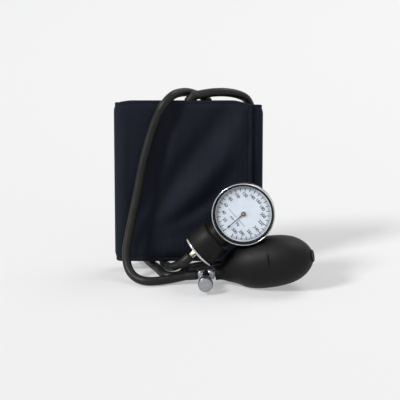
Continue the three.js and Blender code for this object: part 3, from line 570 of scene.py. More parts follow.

# %% [markdown]
# ## Gauge rim and window
# The rim is a thin rolled ring of chromed brass. Its front lip is rounded over the window and its
# back edge is crimped on to the case. The flank's chrome is coloured darker than the lip's, which
# paints shade and dark reflections on it. The lip, the flank and the slightly domed window are
# lathe pieces.

# %% Rim and window
lip = spun("chrome_rim", [
    (27.0, -0.9), (26.7, -0.75), (26.7, -0.45), (26.76, -0.24), (26.9, -0.08), (27.1, 0), (27.32, -0.05),
    (27.52, -0.22), (27.65, -0.5), (27.7, -0.9), (27.7, -1.5), (27.0, -1.5), (27.0, -0.9),
], 144)
flank = spun("chrome_rim_flank", [
    (27.7, -1.5), (27.7, -4.6), (27.62, -4.8), (27.45, -4.9), (27.45, -5.2), (27.62, -5.3), (27.7, -5.5),
    (27.7, -6.1), (27.6, -6.3), (27.4, -6.4), (27.05, -6.4), (27.0, -6.3), (27.0, -1.5), (27.7, -1.5),
], 144)
# A darker copy of the chrome for the flank: painted shade and dark reflection
painted_shade_chrome = simple_finish(
    "shaded_chrome", tone(112, 113, 116), tone(86, 87, 90), (0.1, 0.2), 1.0, 0.006, 0.0007, 4e-6
)
dress(smooth(settle(lip, GAUGE), 40), chrome, "chrome", "instrument", "bezel")
dress(smooth(settle(flank, GAUGE), 40), painted_shade_chrome, "chrome", "instrument", "bezel")

window = spun("clear_window", [
    (0, -0.95), (6, -0.96), (12, -0.98), (18, -1.02), (22, -1.05), (26.6, -1.1), (26.85, -1.2),
    (26.9, -1.35), (26.9, -2.1), (26.8, -2.2), (0, -2.2),
], 96)
glass = new_finish("clear_window_glass", tone(250, 252, 253), 0.03, Transmission_Weight=1.0, IOR=1.15)
lamp_ray = add_node(glass, "ShaderNodeLightPath").outputs["Is Shadow Ray"]
see_through = add_node(glass, "ShaderNodeBsdfTransparent").outputs["BSDF"]
show_surface(glass, choose(glass, lamp_ray, shader_of(glass).outputs["BSDF"], see_through))
dress(smooth(settle(window, GAUGE), 40), glass, "crystal", "instrument", "crystal")

spacer = spun("black_spacer", [
    (24.6, -4.3), (24.6, -3.2), (24.75, -2.8), (25.2, -2.55), (26.2, -2.5), (26.9, -2.5), (26.9, -4.3),
    (24.6, -4.3),
], 128)
dress(smooth(settle(spacer, GAUGE), 40), black_plastic, "black_plastic", "instrument", "spacer_ring")

# %% [markdown]
# ## Dial
# The dial is white enamel with black printing: a mark every 2 mmHg, longer ones every 10, and
# numbers every 20, which run clockwise from a zero at the dial's own foot. One mark of each length is
# modelled as a thin raised strip of ink and copied round the dial, and the numbers are text made into mesh.

# %% Dial plate
dial = spun("dial_face", [
    (1.8, -5.2), (1.8, -4.6), (24.4, -4.6), (25.6, -4.58), (26.5, -4.6), (26.7, -4.7), (26.7, -5.2),
    (1.8, -5.2),
], 128)
dial_enamel = simple_finish(
    "white_dial_enamel", tone(191, 197, 205), tone(184, 190, 198), (0.32, 0.42), 0.0, 0.009, 0.0005, 4e-6
)
dress(smooth(settle(dial, GAUGE), 30), dial_enamel, "dial", "instrument", "dial_plate")

# %% Dial marks
DEGREES_PER_MMHG = 1.129
FULL_SCALE = 300
INK = -4.58
INK_DEEP = 0.03
dial_ink = simple_finish(
    "black_dial_ink", tone(20, 21, 24), tone(13, 14, 16), (0.4, 0.5), 0.0, 0.003, 0.0004, 3e-6
)


def mark(inner, outer, width):
    """One strip of ink that points down from the dial's middle"""
    deselect_all()
    bpy.ops.mesh.primitive_cube_add(size=1, location=mm(0, -(inner + outer) / 2, INK))
    made = bpy.context.object
    made.scale = mm(width, outer - inner, INK_DEEP)
    bpy.ops.object.transform_apply(location=True, rotation=True, scale=True)
    return made


def copies_round(first, places):
    """Copies of a mark, each with its own mesh, at clockwise angles from the dial's bottom"""
    made = []
    for place in places:
        other = own_copy(first)
        other.data.transform(turn(-place, "Z"))
        made.append(other)
    bpy.data.objects.remove(first)
    return made


MARKS_OUT = 23.4
tens = [v * DEGREES_PER_MMHG for v in range(0, FULL_SCALE + 1, 10)]
twos = [v * DEGREES_PER_MMHG for v in range(0, FULL_SCALE + 1, 2) if v % 10]
long_marks = copies_round(mark(20.1, MARKS_OUT, 0.66), tens)
short_marks = copies_round(mark(21.6, MARKS_OUT, 0.3), twos)
low, high = INK - INK_DEEP / 2, INK + INK_DEEP / 2
arc = spun("scale_arc", [
    (MARKS_OUT, low), (23.62, low), (23.62, high), (MARKS_OUT, high), (MARKS_OUT, low),
], 120)
marks = fuse("dial_marks", *long_marks, *short_marks, arc)
dress(settle(marks, GAUGE), dial_ink, "dial", "instrument")

# %% Dial numbers
NUMBERS_OUT = 17.2
FATTENED = 2.6e-5


def lettering(text, size, x, y, angle=0.0):
    """Flat text as a thin mesh on the dial, its middle at x, y in millimetres"""
    deselect_all()
    bpy.ops.object.text_add(location=(0, 0, 0))
    made = bpy.context.object
    made.data.body = text
    made.data.size = size / 1000
    made.data.align_x = "CENTER"
    made.data.align_y = "CENTER"
    made.data.extrude = INK_DEEP / 2000
    made.data.resolution_u = 3
    made.data.offset = size * FATTENED
    bpy.ops.object.convert(target="MESH")
    made.data.transform(Matrix.Translation(mm(x, y, INK)) @ turn(angle, "Z"))
    return made


numbers = []
for value in range(20, FULL_SCALE + 1, 20):
    bearing = radians(-90 - value * DEGREES_PER_MMHG)
    numbers.append(lettering(str(value), 3.8, NUMBERS_OUT * cos(bearing), NUMBERS_OUT * sin(bearing)))
numbers += [lettering("mm", 2.9, -3.6, -9.7), lettering("Hg", 2.9, 3.6, -9.7)]
dress(settle(fuse("dial_numbers", *numbers), GAUGE), dial_ink, "dial", "instrument")

# %% Rule above the unit
pale_ink = simple_finish(
    "grey_dial_ink", tone(84, 87, 94), tone(70, 73, 80), (0.4, 0.5), 0.0, 0.003, 0.0004, 3e-6
)
RULE_Y = -6.7
rules = []
for middle, long in ((-6.6, 10.4), (5.4, 7.6)):
    rule = mark(-long / 2, long / 2, 0.42)
    down_to_middle = Matrix.Translation(mm(0, 0, -INK))
    rule.data.transform(Matrix.Translation(mm(middle, RULE_Y, INK)) @ turn(90, "Z") @ down_to_middle)
    rules.append(rule)
dress(settle(fuse("dial_rule", *rules), GAUGE), pale_ink, "dial", "instrument")

# %% [markdown]
# ## Pointer
# The pointer is cut from thin sheet: a slim blade with a fat arrowhead, on a round hub with a brass
# boss. Half of its outline is extruded point by point and mirrored, so that both sides agree.

# %% Pointer
POINTER_THICK = 0.4
POINTER_BACK = -3.9
outline = [(0, -2.2), (0.38, -2.2), (0.27, -15.9), (0.9, -16.3), (0.7, -17.4), (0.14, -18.8), (0, -18.9)]
deselect_all()
bpy.ops.mesh.primitive_plane_add(size=0.001)
edit()
bpy.ops.mesh.merge(type="CENTER")
bpy.ops.transform.translate(value=mm(*outline[0], 0))
for (x0, y0), (x1, y1) in zip(outline, outline[1:]):
    bpy.ops.mesh.extrude_region_move(TRANSFORM_OT_translate={"value": mm(x1 - x0, y1 - y0, 0)})
bpy.ops.mesh.select_all(action="SELECT")
bpy.ops.mesh.edge_face_add()
hand = done()
mirror = hand.modifiers.new("other_half", "MIRROR")
mirror.merge_threshold = 1e-6
apply_modifier(hand, mirror)
edit()
bpy.ops.mesh.remove_doubles(threshold=1e-6)
bpy.ops.mesh.extrude_region_move(TRANSFORM_OT_translate={"value": mm(0, 0, POINTER_THICK)})
bpy.ops.mesh.select_all(action="SELECT")
bpy.ops.mesh.normals_make_consistent(inside=False)
hand = done()
hand.data.transform(Matrix.Translation(mm(0, 0, POINTER_BACK)))
hub = spun("hub", [
    (0, POINTER_BACK), (1.9, POINTER_BACK), (2.0, -3.8), (2.0, -3.55), (1.85, -3.42), (0, -3.42),
], 48)
pointer = fuse("pointer_blade", hand, hub)
dress(smooth(settle(pointer, GAUGE), 30), pointer_lacquer, "black_plastic", "hand", "pointer")
boss = spun("brass_boss", [
    (0, -3.4), (1.2, -3.4), (1.3, -3.3), (1.3, -3.1), (1.18, -2.95), (0.95, -2.85), (0.35, -2.78), (0, -2.8),
], 40)
dress(smooth(settle(boss, GAUGE), 30), pale_brass, "brass", "hand", "pointer_boss")

# %% [markdown]
# ## Gauge case and drum
# The head, neck and drum are one casting under black enamel. The three are lathe pieces that run
# into each other; a turned groove on the neck and a rolled edge on the drum catch the light. The rim's
# round room is cut out of the neck with a Boolean, so that the ring stays whole in front of it.

# %% Case
head = spun("head", [
    (25.2, -5.52), (26.7, -5.52), (26.72, -6.6), (26.5, -7.2), (25.8, -9.2), (25.3, -12.6), (24.9, -16.2),
    (24.5, -18.2), (23.7, -19.5), (22.6, -20.2), (21.4, -20.4), (0, -20.4),
], 112)
neck = spun("neck", [
    (0, 22.0), (12.2, 22.0), (12.2, 28.6), (11.9, 28.9), (11.9, 29.5), (12.2, 29.8), (12.2, 31.4),
    (12.5, 32.0), (13.2, 32.3), (14.8, 32.4), (15.5, 32.55), (16.1, 32.9), (16.55, 33.6), (16.8, 34.4),
    (16.8, 49.6), (16.7, 49.8), (16.55, 49.9), (16.55, 50.2), (16.7, 50.3), (16.8, 50.5), (16.8, 50.9),
    (16.6, 51.1), (15.2, 51.1), (15.2, 47), (0, 47),
], 112)
settle(neck, DRUM_BEHIND)
deselect_all()
bpy.ops.mesh.primitive_cylinder_add(vertices=144, radius=0.028, depth=0.02, location=mm(0, 0, 3.25))
rim_room = bpy.context.object
room = neck.modifiers.new("room_for_the_rim", "BOOLEAN")
room.operation = "DIFFERENCE"
room.solver = "EXACT"
room.object = rim_room
apply_modifier(neck, room)
bpy.data.objects.remove(rim_room)
case = settle(fuse("enamelled_case", head, neck), GAUGE)
dress(smooth(case, 35), case_enamel, "case", "instrument", "gauge_case")

plate = spun("chrome_end_plate", [
    (15.0, 51.35), (17.2, 51.4), (17.45, 51.5), (17.6, 51.75), (17.6, 52.7), (17.5, 53.0), (17.25, 53.25),
    (16.8, 53.4), (4, 53.4), (3.4, 53.4), (3.4, 51.4), (15.0, 51.35),
], 112)
dress(smooth(settle(plate, DRUM), 35), chrome, "chrome", "instrument", "bottom_plate")

# %% [markdown]
# ## Nipple
# The hose goes over a barbed nipple with a hexagonal collar for a spanner. The collar is a six-sided
# cylinder whose edges are rounded, and the barbs are spun.

# %% Nipple
deselect_all()
bpy.ops.mesh.primitive_cylinder_add(vertices=6, radius=0.0031, depth=0.0075, location=mm(0, 0, 57.45))
collar = round_edges(bpy.context.object, 0.00035, 3)
bpy.ops.object.transform_apply(location=True, rotation=True, scale=True)
stem = spun("stem", [
    (0, 49.5), (1.7, 49.5), (1.8, 49.7), (1.8, 61.0), (1.77, 61.1), (1.77, 64.6), (2.02, 65.0),
    (1.95, 65.4), (1.77, 66.4), (1.77, 66.6), (2.02, 67.0), (1.9, 67.6), (1.64, 69.2), (0.8, 69.2),
    (0.8, 66), (0, 66),
], 40)
nipple = fuse("nickel_nipple", collar, stem)
nipple.data.transform(Matrix.Translation(mm(-1.2, 0, 0)))
dress(smooth(settle(nipple, DRUM), 30), nickel, "nickel", "instrument", "gauge_nipple")

# %% [markdown]
# ## Release valve
# A chromed brass body joins the hose to the bulb. A boss on its front carries a thumb screw that lets
# the air out. All its parts are round, so each is spun and turned to face its own way.

# %% Valve body
barrel = spun("barrel", [
    (0, -15.1), (1.64, -15.1), (2.02, -11.6), (1.77, -11.2), (1.77, -7.3), (4.4, -7.2), (4.9, -7.1),
    (5.2, -6.8), (5.3, -6.4), (5.3, -2.0), (5.1, -1.6), (4.75, -1.3), (4.7, -1.0), (4.7, 1.0),
    (4.75, 1.3), (5.1, 1.6), (5.3, 2.0), (5.3, 6.4), (5.2, 6.8), (4.9, 7.1), (4.4, 7.2), (3.0, 7.25),
    (3.0, 14.2), (3.4, 14.6), (2.9, 18.2), (0.9, 18.2), (0.9, 17), (0, 17),
], 72)
boss_piece = spun("boss", [
    (0, 1), (4.4, 1.0), (4.4, 14.2), (4.6, 14.5), (5.05, 14.8), (5.2, 15.1), (5.2, 17.0), (5.05, 17.4),
    (4.8, 17.5), (3.7, 17.5), (3.7, 15.2), (1.9, 15.2), (1.9, 4), (0, 4),
], 64)
barrel.data.transform(TO_PLUS_X)
boss_piece.data.transform(TO_MINUS_Y)
valve = fuse("chrome_valve", barrel, boss_piece)
# The valve's chrome is coloured darker than the rim's, which paints darker reflections on it
valve_chrome = simple_finish(
    "painted_reflection_chrome", tone(176, 178, 182), tone(146, 148, 153), (0.1, 0.2), 1.0, 0.004, 0.0006, 6e-6
)
dress(smooth(settle(valve, VALVE), 30), valve_chrome, "chrome", "instrument", "valve_body")

SCREW = VALVE @ TO_MINUS_Y
gland = spun("rubber_gland", [
    (1.9, 15.3), (3.3, 15.3), (3.4, 15.5), (3.4, 16.9), (3.2, 17.1), (1.9, 17.1), (1.9, 15.3),
], 40)
dress(smooth(settle(gland, SCREW), 30), black_plastic, "black_plastic", "instrument", "gland_ring")

# %% Needle and thumb screw
THREAD_TURNS = 26
THREAD_PITCH = 0.8
CREST = 1.6
ROOT = 1.42
thread = [(0, 2.2), (0.5, 2.2), (1.5, 4.4)]
for turn_number in range(THREAD_TURNS):
    start = 4.6 + turn_number * THREAD_PITCH
    thread += [(CREST, start), (CREST, start + 0.2), (ROOT, start + 0.4), (ROOT, start + 0.55)]
needle = spun("threaded_needle", [*thread, (ROOT, 26.3), (0, 26.3)], 24)
dress(smooth(settle(needle, SCREW), 30), brass, "brass", "needle_body", "needle")

KNOB_STEPS = 120
knob = spun("thumb_screw_grip", [
    (1.9, 22.7), (5.4, 22.7), (6.1, 22.9), (6.5, 23.3), (6.6, 23.6), (6.6, 25.7), (6.5, 25.9), (6.2, 26.1),
    (5.7, 26.6), (5.6, 26.75), (5.6, 27.0), (0, 27.0),
], KNOB_STEPS)
print("thumb screw is", round(knob.dimensions.x * 1000, 1), "mm across")

# %% [markdown]
# The thumb screw's rim is knurled so that it doesn't slip. Every second face round the rim is
# selected by its place and pushed in, which leaves a row of fine straight flutes.

# %% Knurl and satin face
RIM_HEIGHTS = (0.0237, 0.0256)
RIM_RADIUS = 0.0064
FLUTE_DEEP = 0.00022
edit()
bpy.ops.mesh.select_all(action="DESELECT")
shape = bmesh.from_edit_mesh(knob.data)
for face in shape.faces:
    middle = face.calc_center_median()
    share = (middle.xy.angle_signed(Vector((1, 0))) / (2 * pi)) % 1
    on_rim = RIM_HEIGHTS[0] < middle.z < RIM_HEIGHTS[1] and middle.xy.length > RIM_RADIUS
    if on_rim and int(share * KNOB_STEPS + 0.25) % 2 == 0:
        face.select = True
bmesh.update_edit_mesh(knob.data)
bpy.ops.mesh.inset(thickness=2e-5, depth=-FLUTE_DEEP, use_individual=True)
knob = done()
knob_face = spun("thumb_screw_face", [
    (0, 27.0), (5.6, 27.0), (5.75, 27.2), (6.05, 27.35), (6.2, 27.6), (6.2, 28.1), (6.1, 28.4), (5.8, 28.62),
    (5.4, 28.7), (1.2, 28.62), (0.5, 28.56), (0, 28.55),
], KNOB_STEPS)
satin = new_finish("satin_silver_plate", tone(190, 191, 193), 0.42, 0.75)
where = place_pattern(satin)
cloud = grain(satin, where, 0.0035, detail=6, rough=0.7)
grit = grain(satin, where, 0.00025, detail=2)
finish_with(
    satin,
    blend_colours(satin, spread(satin, cloud, 0, 1, 0.3, 0.7), tone(139, 142, 146), tone(168, 170, 173)),
    spread(satin, cloud, 0.36, 0.54, 0.3, 0.7),
    relief(satin, grit, 1.2e-5),
)
# The knurled grip is a darker copy of the satin plate: painted shade round the thumb screw's face
painted_shade_grip = simple_finish(
    "shaded_satin_plate", tone(104, 106, 109), tone(76, 78, 81), (0.25, 0.4), 0.9, 0.003, 0.0004, 1e-5
)
for piece, finish in ((knob, painted_shade_grip), (knob_face, satin)):
    dress(smooth(settle(piece, SCREW), 30), finish, "satin_metal", "knob", "valve_knob")

# %% [markdown]
# ## Bulb
# The bulb is blown rubber: a pear whose neck grips the valve and whose tail holds the end valve. It
# lies on the table and its middle line rises to the right, so a straight lathe piece is bent along that
# line vertex by vertex, and its belly is pressed flat where it rests.

# %% Bulb
bulb_way = [(23.9, -31, 10.1), (32.5, -31.4, 11.7), (45, -31.6, 16.2), (68, -35, 22.1), (108.6, -44, 31.4)]
bulb_middle = smooth_line([shifted(*point) for point in bulb_way], 60)
bulb_length = line_length(bulb_middle)


def on_middle(distance):
    """The point and the direction of the bulb's middle line at a distance along it"""
    left = min(max(distance, 0), bulb_length)
    for a, b in zip(bulb_middle, bulb_middle[1:]):
        step = (b - a).length
        if left <= step or b is bulb_middle[-1]:
            return a + (b - a) * (left / step), (b - a).normalized()
        left -= step


ABOVE_TABLE = 0.0001


def bend_along(obj):
    """Moves each vertex from the straight z axis to the bulb's middle line"""
    for vertex in obj.data.vertices:
        middle, along = on_middle(vertex.co.z)
        across = Vector((0, 0, 1)).cross(along).normalized()
        up = along.cross(across)
        vertex.co = middle + across * vertex.co.x + up * vertex.co.y
        vertex.co.z = max(vertex.co.z, ABOVE_TABLE)


PEAR_LENGTH = 90
knots = [
    (0, 6.1), (6, 6.9), (12, 10.9), (20, 16.2), (28, 19.8), (37, 22), (47, 22.8), (57, 22.7), (67, 21.5),
    (76, 18.9), (83, 14.6), (87.5, 10), (PEAR_LENGTH, 6),
]
pear = smooth_line([Vector((s, 0, r)) for s, r in knots], 6)
stretch = bulb_length * 1000 / PEAR_LENGTH
outside = [(p.z, p.x * stretch) for p in pear]
neck_bead = [(4.6, 0.05), (5.7, 0.0), (6.3, 0.25), (6.5, 0.9), (6.4, 1.6), (6.2, 2.1)]
after_bead = [(r, s) for r, s in outside if s > 3]
bulb = spun("rubber_bulb", neck_bead + after_bead + [(4.4, bulb_length * 1000 + 0.02)], 128)
bend_along(bulb)
bulb_rubber = new_finish("dull_bulb_rubber", tone(14, 14, 15), 0.5, 0.0, Specular_IOR_Level=0.2)
where = place_pattern(bulb_rubber)
bloom = grain(bulb_rubber, where, 0.02, detail=6, rough=0.6)
pores = grain(bulb_rubber, where, 0.0006, detail=3)
finish_with(
    bulb_rubber,
    blend_colours(
        bulb_rubber, spread(bulb_rubber, bloom, 0, 1, 0.3, 0.7), tone(11, 11, 12), tone(16, 16, 17)
    ),
    spread(bulb_rubber, bloom, 0.46, 0.56, 0.3, 0.7),
    relief(bulb_rubber, pores, 2.5e-5),
)
dress(smooth(bulb, 50), bulb_rubber, "bulb_rubber", "instrument", "bulb")

# %% [markdown]
# The mould that blew the bulb closed round its belly, and it left a hair-thin ridge there. A narrow
# vent beside it left a short raised bar. Both are bent to the bulb's shape with the same helper.

# %% Mould marks
BELLY = 53.0
VENT = BELLY + 1.6
VENT_TURN = radians(158)
VENT_SUNK = 0.25
ridge_steps = [
    (-0.5, -0.3), (-0.45, 0.0), (-0.2, 0.09), (0, 0.13), (0.2, 0.09), (0.45, 0.0), (0.5, -0.3),
    (-0.5, -0.3),
]


def bulb_radius(distance):
    """The straight bulb's radius in millimetres at a distance along it"""
    for (r0, s0), (r1, s1) in zip(outside, outside[1:]):
        if s0 <= distance <= s1:
            return r0 + (r1 - r0) * (distance - s0) / (s1 - s0)
    return outside[-1][0]


ridge = spun(
    "ridge", [(bulb_radius(BELLY + step) + lift, BELLY + step) for step, lift in ridge_steps], 128
)
deselect_all()
bpy.ops.mesh.primitive_cube_add(size=1)
bar = bpy.context.object
bar.scale = mm(9.6, 0.9, 0.9)
bpy.ops.object.transform_apply(location=False, rotation=False, scale=True)
edit()
bpy.ops.mesh.subdivide(number_cuts=9)
bar = round_edges(done(), 0.00025, 2)
for vertex in bar.data.vertices:
    round_it = VENT_TURN + vertex.co.x * 1000 / bulb_radius(VENT)
    far = bulb_radius(VENT) - VENT_SUNK + vertex.co.y * 1000
    vertex.co = mm(far * cos(round_it), far * sin(round_it), VENT + vertex.co.z * 1000)
vent_rubber = simple_finish(
    "dark_vent_rubber", tone(7, 7, 7), tone(4, 4, 4), (0.75, 0.9), 0.0, 0.003, 0.0004, 2e-5,
    Specular_IOR_Level=0.05,
)
for piece, name, finish in ((ridge, "mould_ridge", bulb_rubber), (bar, "vent_bar", vent_rubber)):
    bend_along(piece)
    piece.name = piece.data.name = name
    dress(smooth(piece, 40), finish, "bulb_rubber", "instrument")

# %% End valve
tail_point, tail_way = on_middle(bulb_length)
tail_turn = Vector((0, 0, 1)).rotation_difference(tail_way).to_matrix().to_4x4()
TAIL = Matrix.Translation(tail_point) @ tail_turn
end_cap = spun("end_valve_cap", [
    (0.9, -0.2), (0.9, 1.0), (1.1, 1.2), (2.9, 1.25), (3.1, 1.1), (3.4, 1.1), (3.6, 1.3), (4.6, 1.4),
    (5.0, 1.32), (5.3, 1.1), (5.4, 0.8), (5.4, 0.5), (5.3, 0.34), (4.1, 0.3), (4.1, -8), (2.6, -8),
    (2.6, -1.6), (0.9, -1.6), (0.9, -0.2),
], 64)
dress(smooth(settle(end_cap, TAIL), 30), black_plastic, "black_plastic", "instrument", "end_valve_body")

# %% [markdown]
# ## Cuff
# The cuff is one long sleeve of navy nylon cloth, folded flat round itself in four layers. It is made
# as a sheet that follows the fold lines: left along the front, back round the left edge, and on into
# the middle. A run goes from one x to another at a depth; a fold has a middle, a radius and a first
# angle. Both faces of the sleeve are modelled, and they come together at the sewn edges.

# %% The folded line
STRIP = 3.4
HALF = STRIP / 2
PITCH = 4.2
ROLL = 16
WIDE = 67.5
HIGH = 147
depths = [HALF + i * PITCH for i in range(4)]
outer = (depths[3] - depths[0]) / 2
right_bend = (depths[3] - depths[1]) / 2
inner = (depths[2] - depths[1]) / 2
left_x = -WIDE + outer + HALF
right_x = WIDE - right_bend - HALF
runs = [
    ("run", 57.5, left_x, depths[0]),
    ("fold", left_x, (depths[0] + depths[3]) / 2, outer, -90),
    ("run", left_x, right_x, depths[3]),
    ("fold", right_x, (depths[1] + depths[3]) / 2, right_bend, 90),
    ("run", right_x, left_x, depths[1]),
    ("fold", left_x, (depths[1] + depths[2]) / 2, inner, -90),
    ("run", left_x, 50, depths[2]),
]


def run_length(run):
    return pi * run[3] if run[0] == "fold" else abs(run[2] - run[1])


STRIP_LENGTH = sum(run_length(run) for run in runs)


def on_strip(distance):
    """The strip's middle at a distance from its outer end, and the way out of the roll, in millimetres"""
    left = distance
    for run in runs:
        long = run_length(run)
        if left > long and run is not runs[-1]:
            left -= long
            continue
        if run[0] == "fold":
            angle = radians(run[4] - left / long * 180)
            out = Vector((cos(angle), sin(angle)))
            return Vector((run[1], run[2])) + out * run[3], out
        along = 1 if run[2] > run[1] else -1
        return Vector((run[1] + along * left, run[3])), Vector((0, along))


print("strip is", round(STRIP_LENGTH), "mm long")

# %% [markdown]
# Cloth that has been rolled and handled isn't flat. Long soft folds run down from the upper right, so a
# few lines are laid where the photograph shows them, each with a height and a width in millimetres,
# and a slow noise adds the rest. All layers move together, so they never cross.

# %% Creases
creases = [
    (-6.2, 10, [
        (35.5, 141.4), (24.8, 126), (14.9, 111.6), (2.3, 95.3), (-9.5, 79.8), (-20.4, 65.2), (-33.2, 50.5),
    ]),
    (4.8, 9, [(46.4, 122.5), (36.5, 102.6), (23.1, 83.4), (7.7, 66), (-7.8, 51.4), (-26, 37.6)]),
    (-3.4, 7, [(38.4, 82.5), (27.6, 64.2), (14, 52.3), (-2.3, 39.4), (-20.6, 28.3)]),
    (2.6, 5, [(14.9, 45), (-6, 33), (-26, 25.6)]),
    (-3.2, 5, [(-35.1, 33.9), (-42.5, 17.2), (-46.2, 6)]),
    (-4.4, 7, [(-14.7, 137), (-22.9, 114.3), (-29.3, 88.9), (-34.9, 67), (-41.4, 46)]),
    (1.3, 4.5, [(-54.2, 144), (-58, 111.6), (-60.2, 75.2), (-58.8, 29.3)]),
    (3.0, 15, [(-48, 16), (-20, 13), (14, 12)]),
    (1.6, 5, [(48, 144), (47.3, 120.7), (45.6, 93.5)]),
    (-1.2, 3, [(54.4, 142.3), (53.6, 111.6), (52.9, 77)]),
    (-1.5, 4.5, [(-62.4, 33.9), (-55.2, 20), (-52.6, 5)]),
]
WAVE_SHARE = 0.8
EULER = 2.718
print(len(creases), "creases")

# %% The cloth's waves and sags
def near_line(x, z, line):
    """The distance from a point to a line of points, and the share of the line before that place"""
    best = None
    for i, ((x0, z0), (x1, z1)) in enumerate(zip(line, line[1:])):
        ax, az = x1 - x0, z1 - z0
        t = min(max(((x - x0) * ax + (z - z0) * az) / (ax * ax + az * az), 0), 1)
        apart = ((x - x0 - t * ax) ** 2 + (z - z0 - t * az) ** 2) ** 0.5
        if best is None or apart < best[0]:
            best = (apart, (i + t) / (len(line) - 1))
    return best


def bell(distance, width):
    """1 at a place, and almost nothing at twice the width from it"""
    return EULER ** (-((distance / width) ** 2))


def wave(x, z):
    """How far the cloth stands towards the front at a place on the roll, in millimetres"""
    slow = noise.noise(Vector((x / 30, z / 44, 1.3)))
    quick = noise.noise(Vector((x / 10, z / 19, 7.1)))
    height = 1.1 * slow + 0.5 * quick
    for rise, width, line in creases:
        apart, along = near_line(x, z, line)
        fade = 0.45 + 0.55 * sin(pi * min(max(along, 0.02), 0.98))
        height += rise * fade * bell(apart, width)
    calm = smoothstep(WIDE - abs(x), 1.0, 12) * smoothstep(min(z, HIGH - z), -2, 12)
    return height * (0.15 + 0.85 * calm) * WAVE_SHARE


BACK_SAG = 1.3
BACK_LIFT = 2.2
RIGHT_SAG = 3.8
LEFT_SAG = 1.8


def settled(x, y, z):
    """A place on the flat roll as the worn roll holds it: drooping corners, a sagging back"""
    back = smoothstep(y, 0.3 * ROLL, 0.9 * ROLL)
    right = smoothstep(x / WIDE, 0.58, 0.9)
    left = smoothstep(-x / WIDE, 0.75, 1)
    high = z / HIGH
    sag = back * BACK_SAG + right * RIGHT_SAG + left * LEFT_SAG
    return x, y, z + back * BACK_LIFT * (1 - high) - sag * high


# %% [markdown]
# The sleeve's section is thin at its sewn edges and full between them. Rows lie close together at the
# hems, where the cloth turns over, and further apart between them.

# %% Cloth
edge_rows = [0, 0.25, 0.7, 1.3, 2.0, 2.7, 3.2, 3.7, 4.4, 5.4, 6.8]
middle_rows = [8.6 + i * (HIGH - 17.2) / 52 for i in range(53)]
rows = edge_rows + middle_rows + [HIGH - r for r in reversed(edge_rows)]
end_columns = [0, 0.25, 0.7, 1.3, 2.0, 2.7, 3.2, 3.7, 4.4, 5.4]
body_columns = [7 + i * (STRIP_LENGTH - 14) / 232 for i in range(233)]
columns = end_columns + body_columns + [STRIP_LENGTH - c for c in reversed(end_columns)]


SEAM = 3.2
HEM = 0.72


def fullness(edge):
    """Half the sleeve's thickness at a distance from its nearest sewn edge"""
    lip = min(edge / 0.7, 1) ** 0.5
    seam = 0.3 * bell(edge - SEAM, 0.55)
    return lip * (HEM + (HALF - HEM) * smoothstep(edge, 2.4, 8)) - seam


def cloth_point(distance, height, side):
    middle, out = on_strip(distance)
    edge = min(height, HIGH - height, distance, STRIP_LENGTH - distance)
    off = side * fullness(edge)
    x, y, z = settled(middle.x + out.x * off, middle.y + out.y * off, height)
    return CUFF @ (Vector((x, y - wave(x, z), z)) / 1000)


cloth_mesh = bpy.data.meshes.new("nylon_cuff")
points, faces = [], []
for side in (1, -1):
    for c in columns:
        points += [cloth_point(c, r, side) for r in rows]
many = len(rows)
back_start = len(columns) * many
for c in range(len(columns) - 1):
    for r in range(many - 1):
        a = c * many + r
        faces.append((a, a + many, a + many + 1, a + 1))
        b = back_start + a
        faces.append((b, b + 1, b + many + 1, b + many))
cloth_mesh.from_pydata(points, [], faces)
uv = cloth_mesh.uv_layers.new(name="cloth")
for loop in cloth_mesh.loops:
    index = loop.vertex_index % back_start
    uv.data[loop.index].uv = (columns[index // many] / 1000, rows[index % many] / 1000)
cuff = bpy.data.objects.new("nylon_cuff", cloth_mesh)
bpy.context.collection.objects.link(cuff)
select_only(cuff)
edit()
bpy.ops.mesh.remove_doubles(threshold=3e-6)
bpy.ops.mesh.normals_make_consistent(inside=False)
cuff = done()
print("cuff cloth", len(cuff.data.vertices), "points")

# %% [markdown]
# ### Nylon cloth
# Pack cloth is a plain weave of flat shiny yarns about half a millimetre wide. The weave is drawn on
# the cloth's own UV map, so it turns with the folds. Some yarns are thicker, which shows as faint
# upright streaks, and handling leaves a soft sheen.

# %% Nylon finish
nylon = new_finish(
    "navy_pack_cloth", tone(21, 25, 35), 0.7, 0.0, Sheen_Weight=0.06, Sheen_Roughness=0.35,
    Specular_IOR_Level=0.14,
)
shader_of(nylon).inputs["Sheen Tint"].default_value = (*tone(130, 145, 185), 1)
YARN = 0.00052
BAND = pi / (10 * YARN)
flat = place_pattern(nylon, "UV")
yarns = []
for direction in ("X", "Y"):
    bands = {"Scale": BAND, "Distortion": 0.5, "Detail": 1}
    weave = add_node(nylon, "ShaderNodeTexWave", bands, bands_direction=direction)
    wire(nylon, flat, weave.inputs["Vector"])
    yarns.append(weave.outputs["Fac"])
crossing = calculate(nylon, "MULTIPLY", *yarns)
streaks = grain(nylon, place_pattern(nylon, "UV", (900, 30, 1)), 1.0, detail=3)
slubs = grain(nylon, place_pattern(nylon, "UV", (60, 900, 1)), 1.0, detail=3)
wear = grain(nylon, flat, 0.03, detail=6, rough=0.6)
shade = weighted(nylon, (streaks, 0.45), (slubs, 0.2), (wear, 0.35))
yarn_colour = blend_colours(nylon, spread(nylon, shade, 0, 1, 0.36, 0.64), tone(13, 16, 24), tone(24, 28, 40))
# Where the yarns cross, the cloth is coloured lighter: a painted highlight on the crowns of the weave
cloth_colour = blend_colours(nylon, spread(nylon, crossing, 0, 0.5, 0, 1), yarn_colour, tone(31, 36, 51))
finish_with(
    nylon,
    cloth_colour,
    spread(nylon, wear, 0.6, 0.78, 0.3, 0.7),
    relief(nylon, crossing, 5e-5, relief(nylon, streaks, 2.5e-5)),
)
smooth(cuff, 60)
dress(cuff, nylon, "nylon", "instrument", "cuff_sleeve")

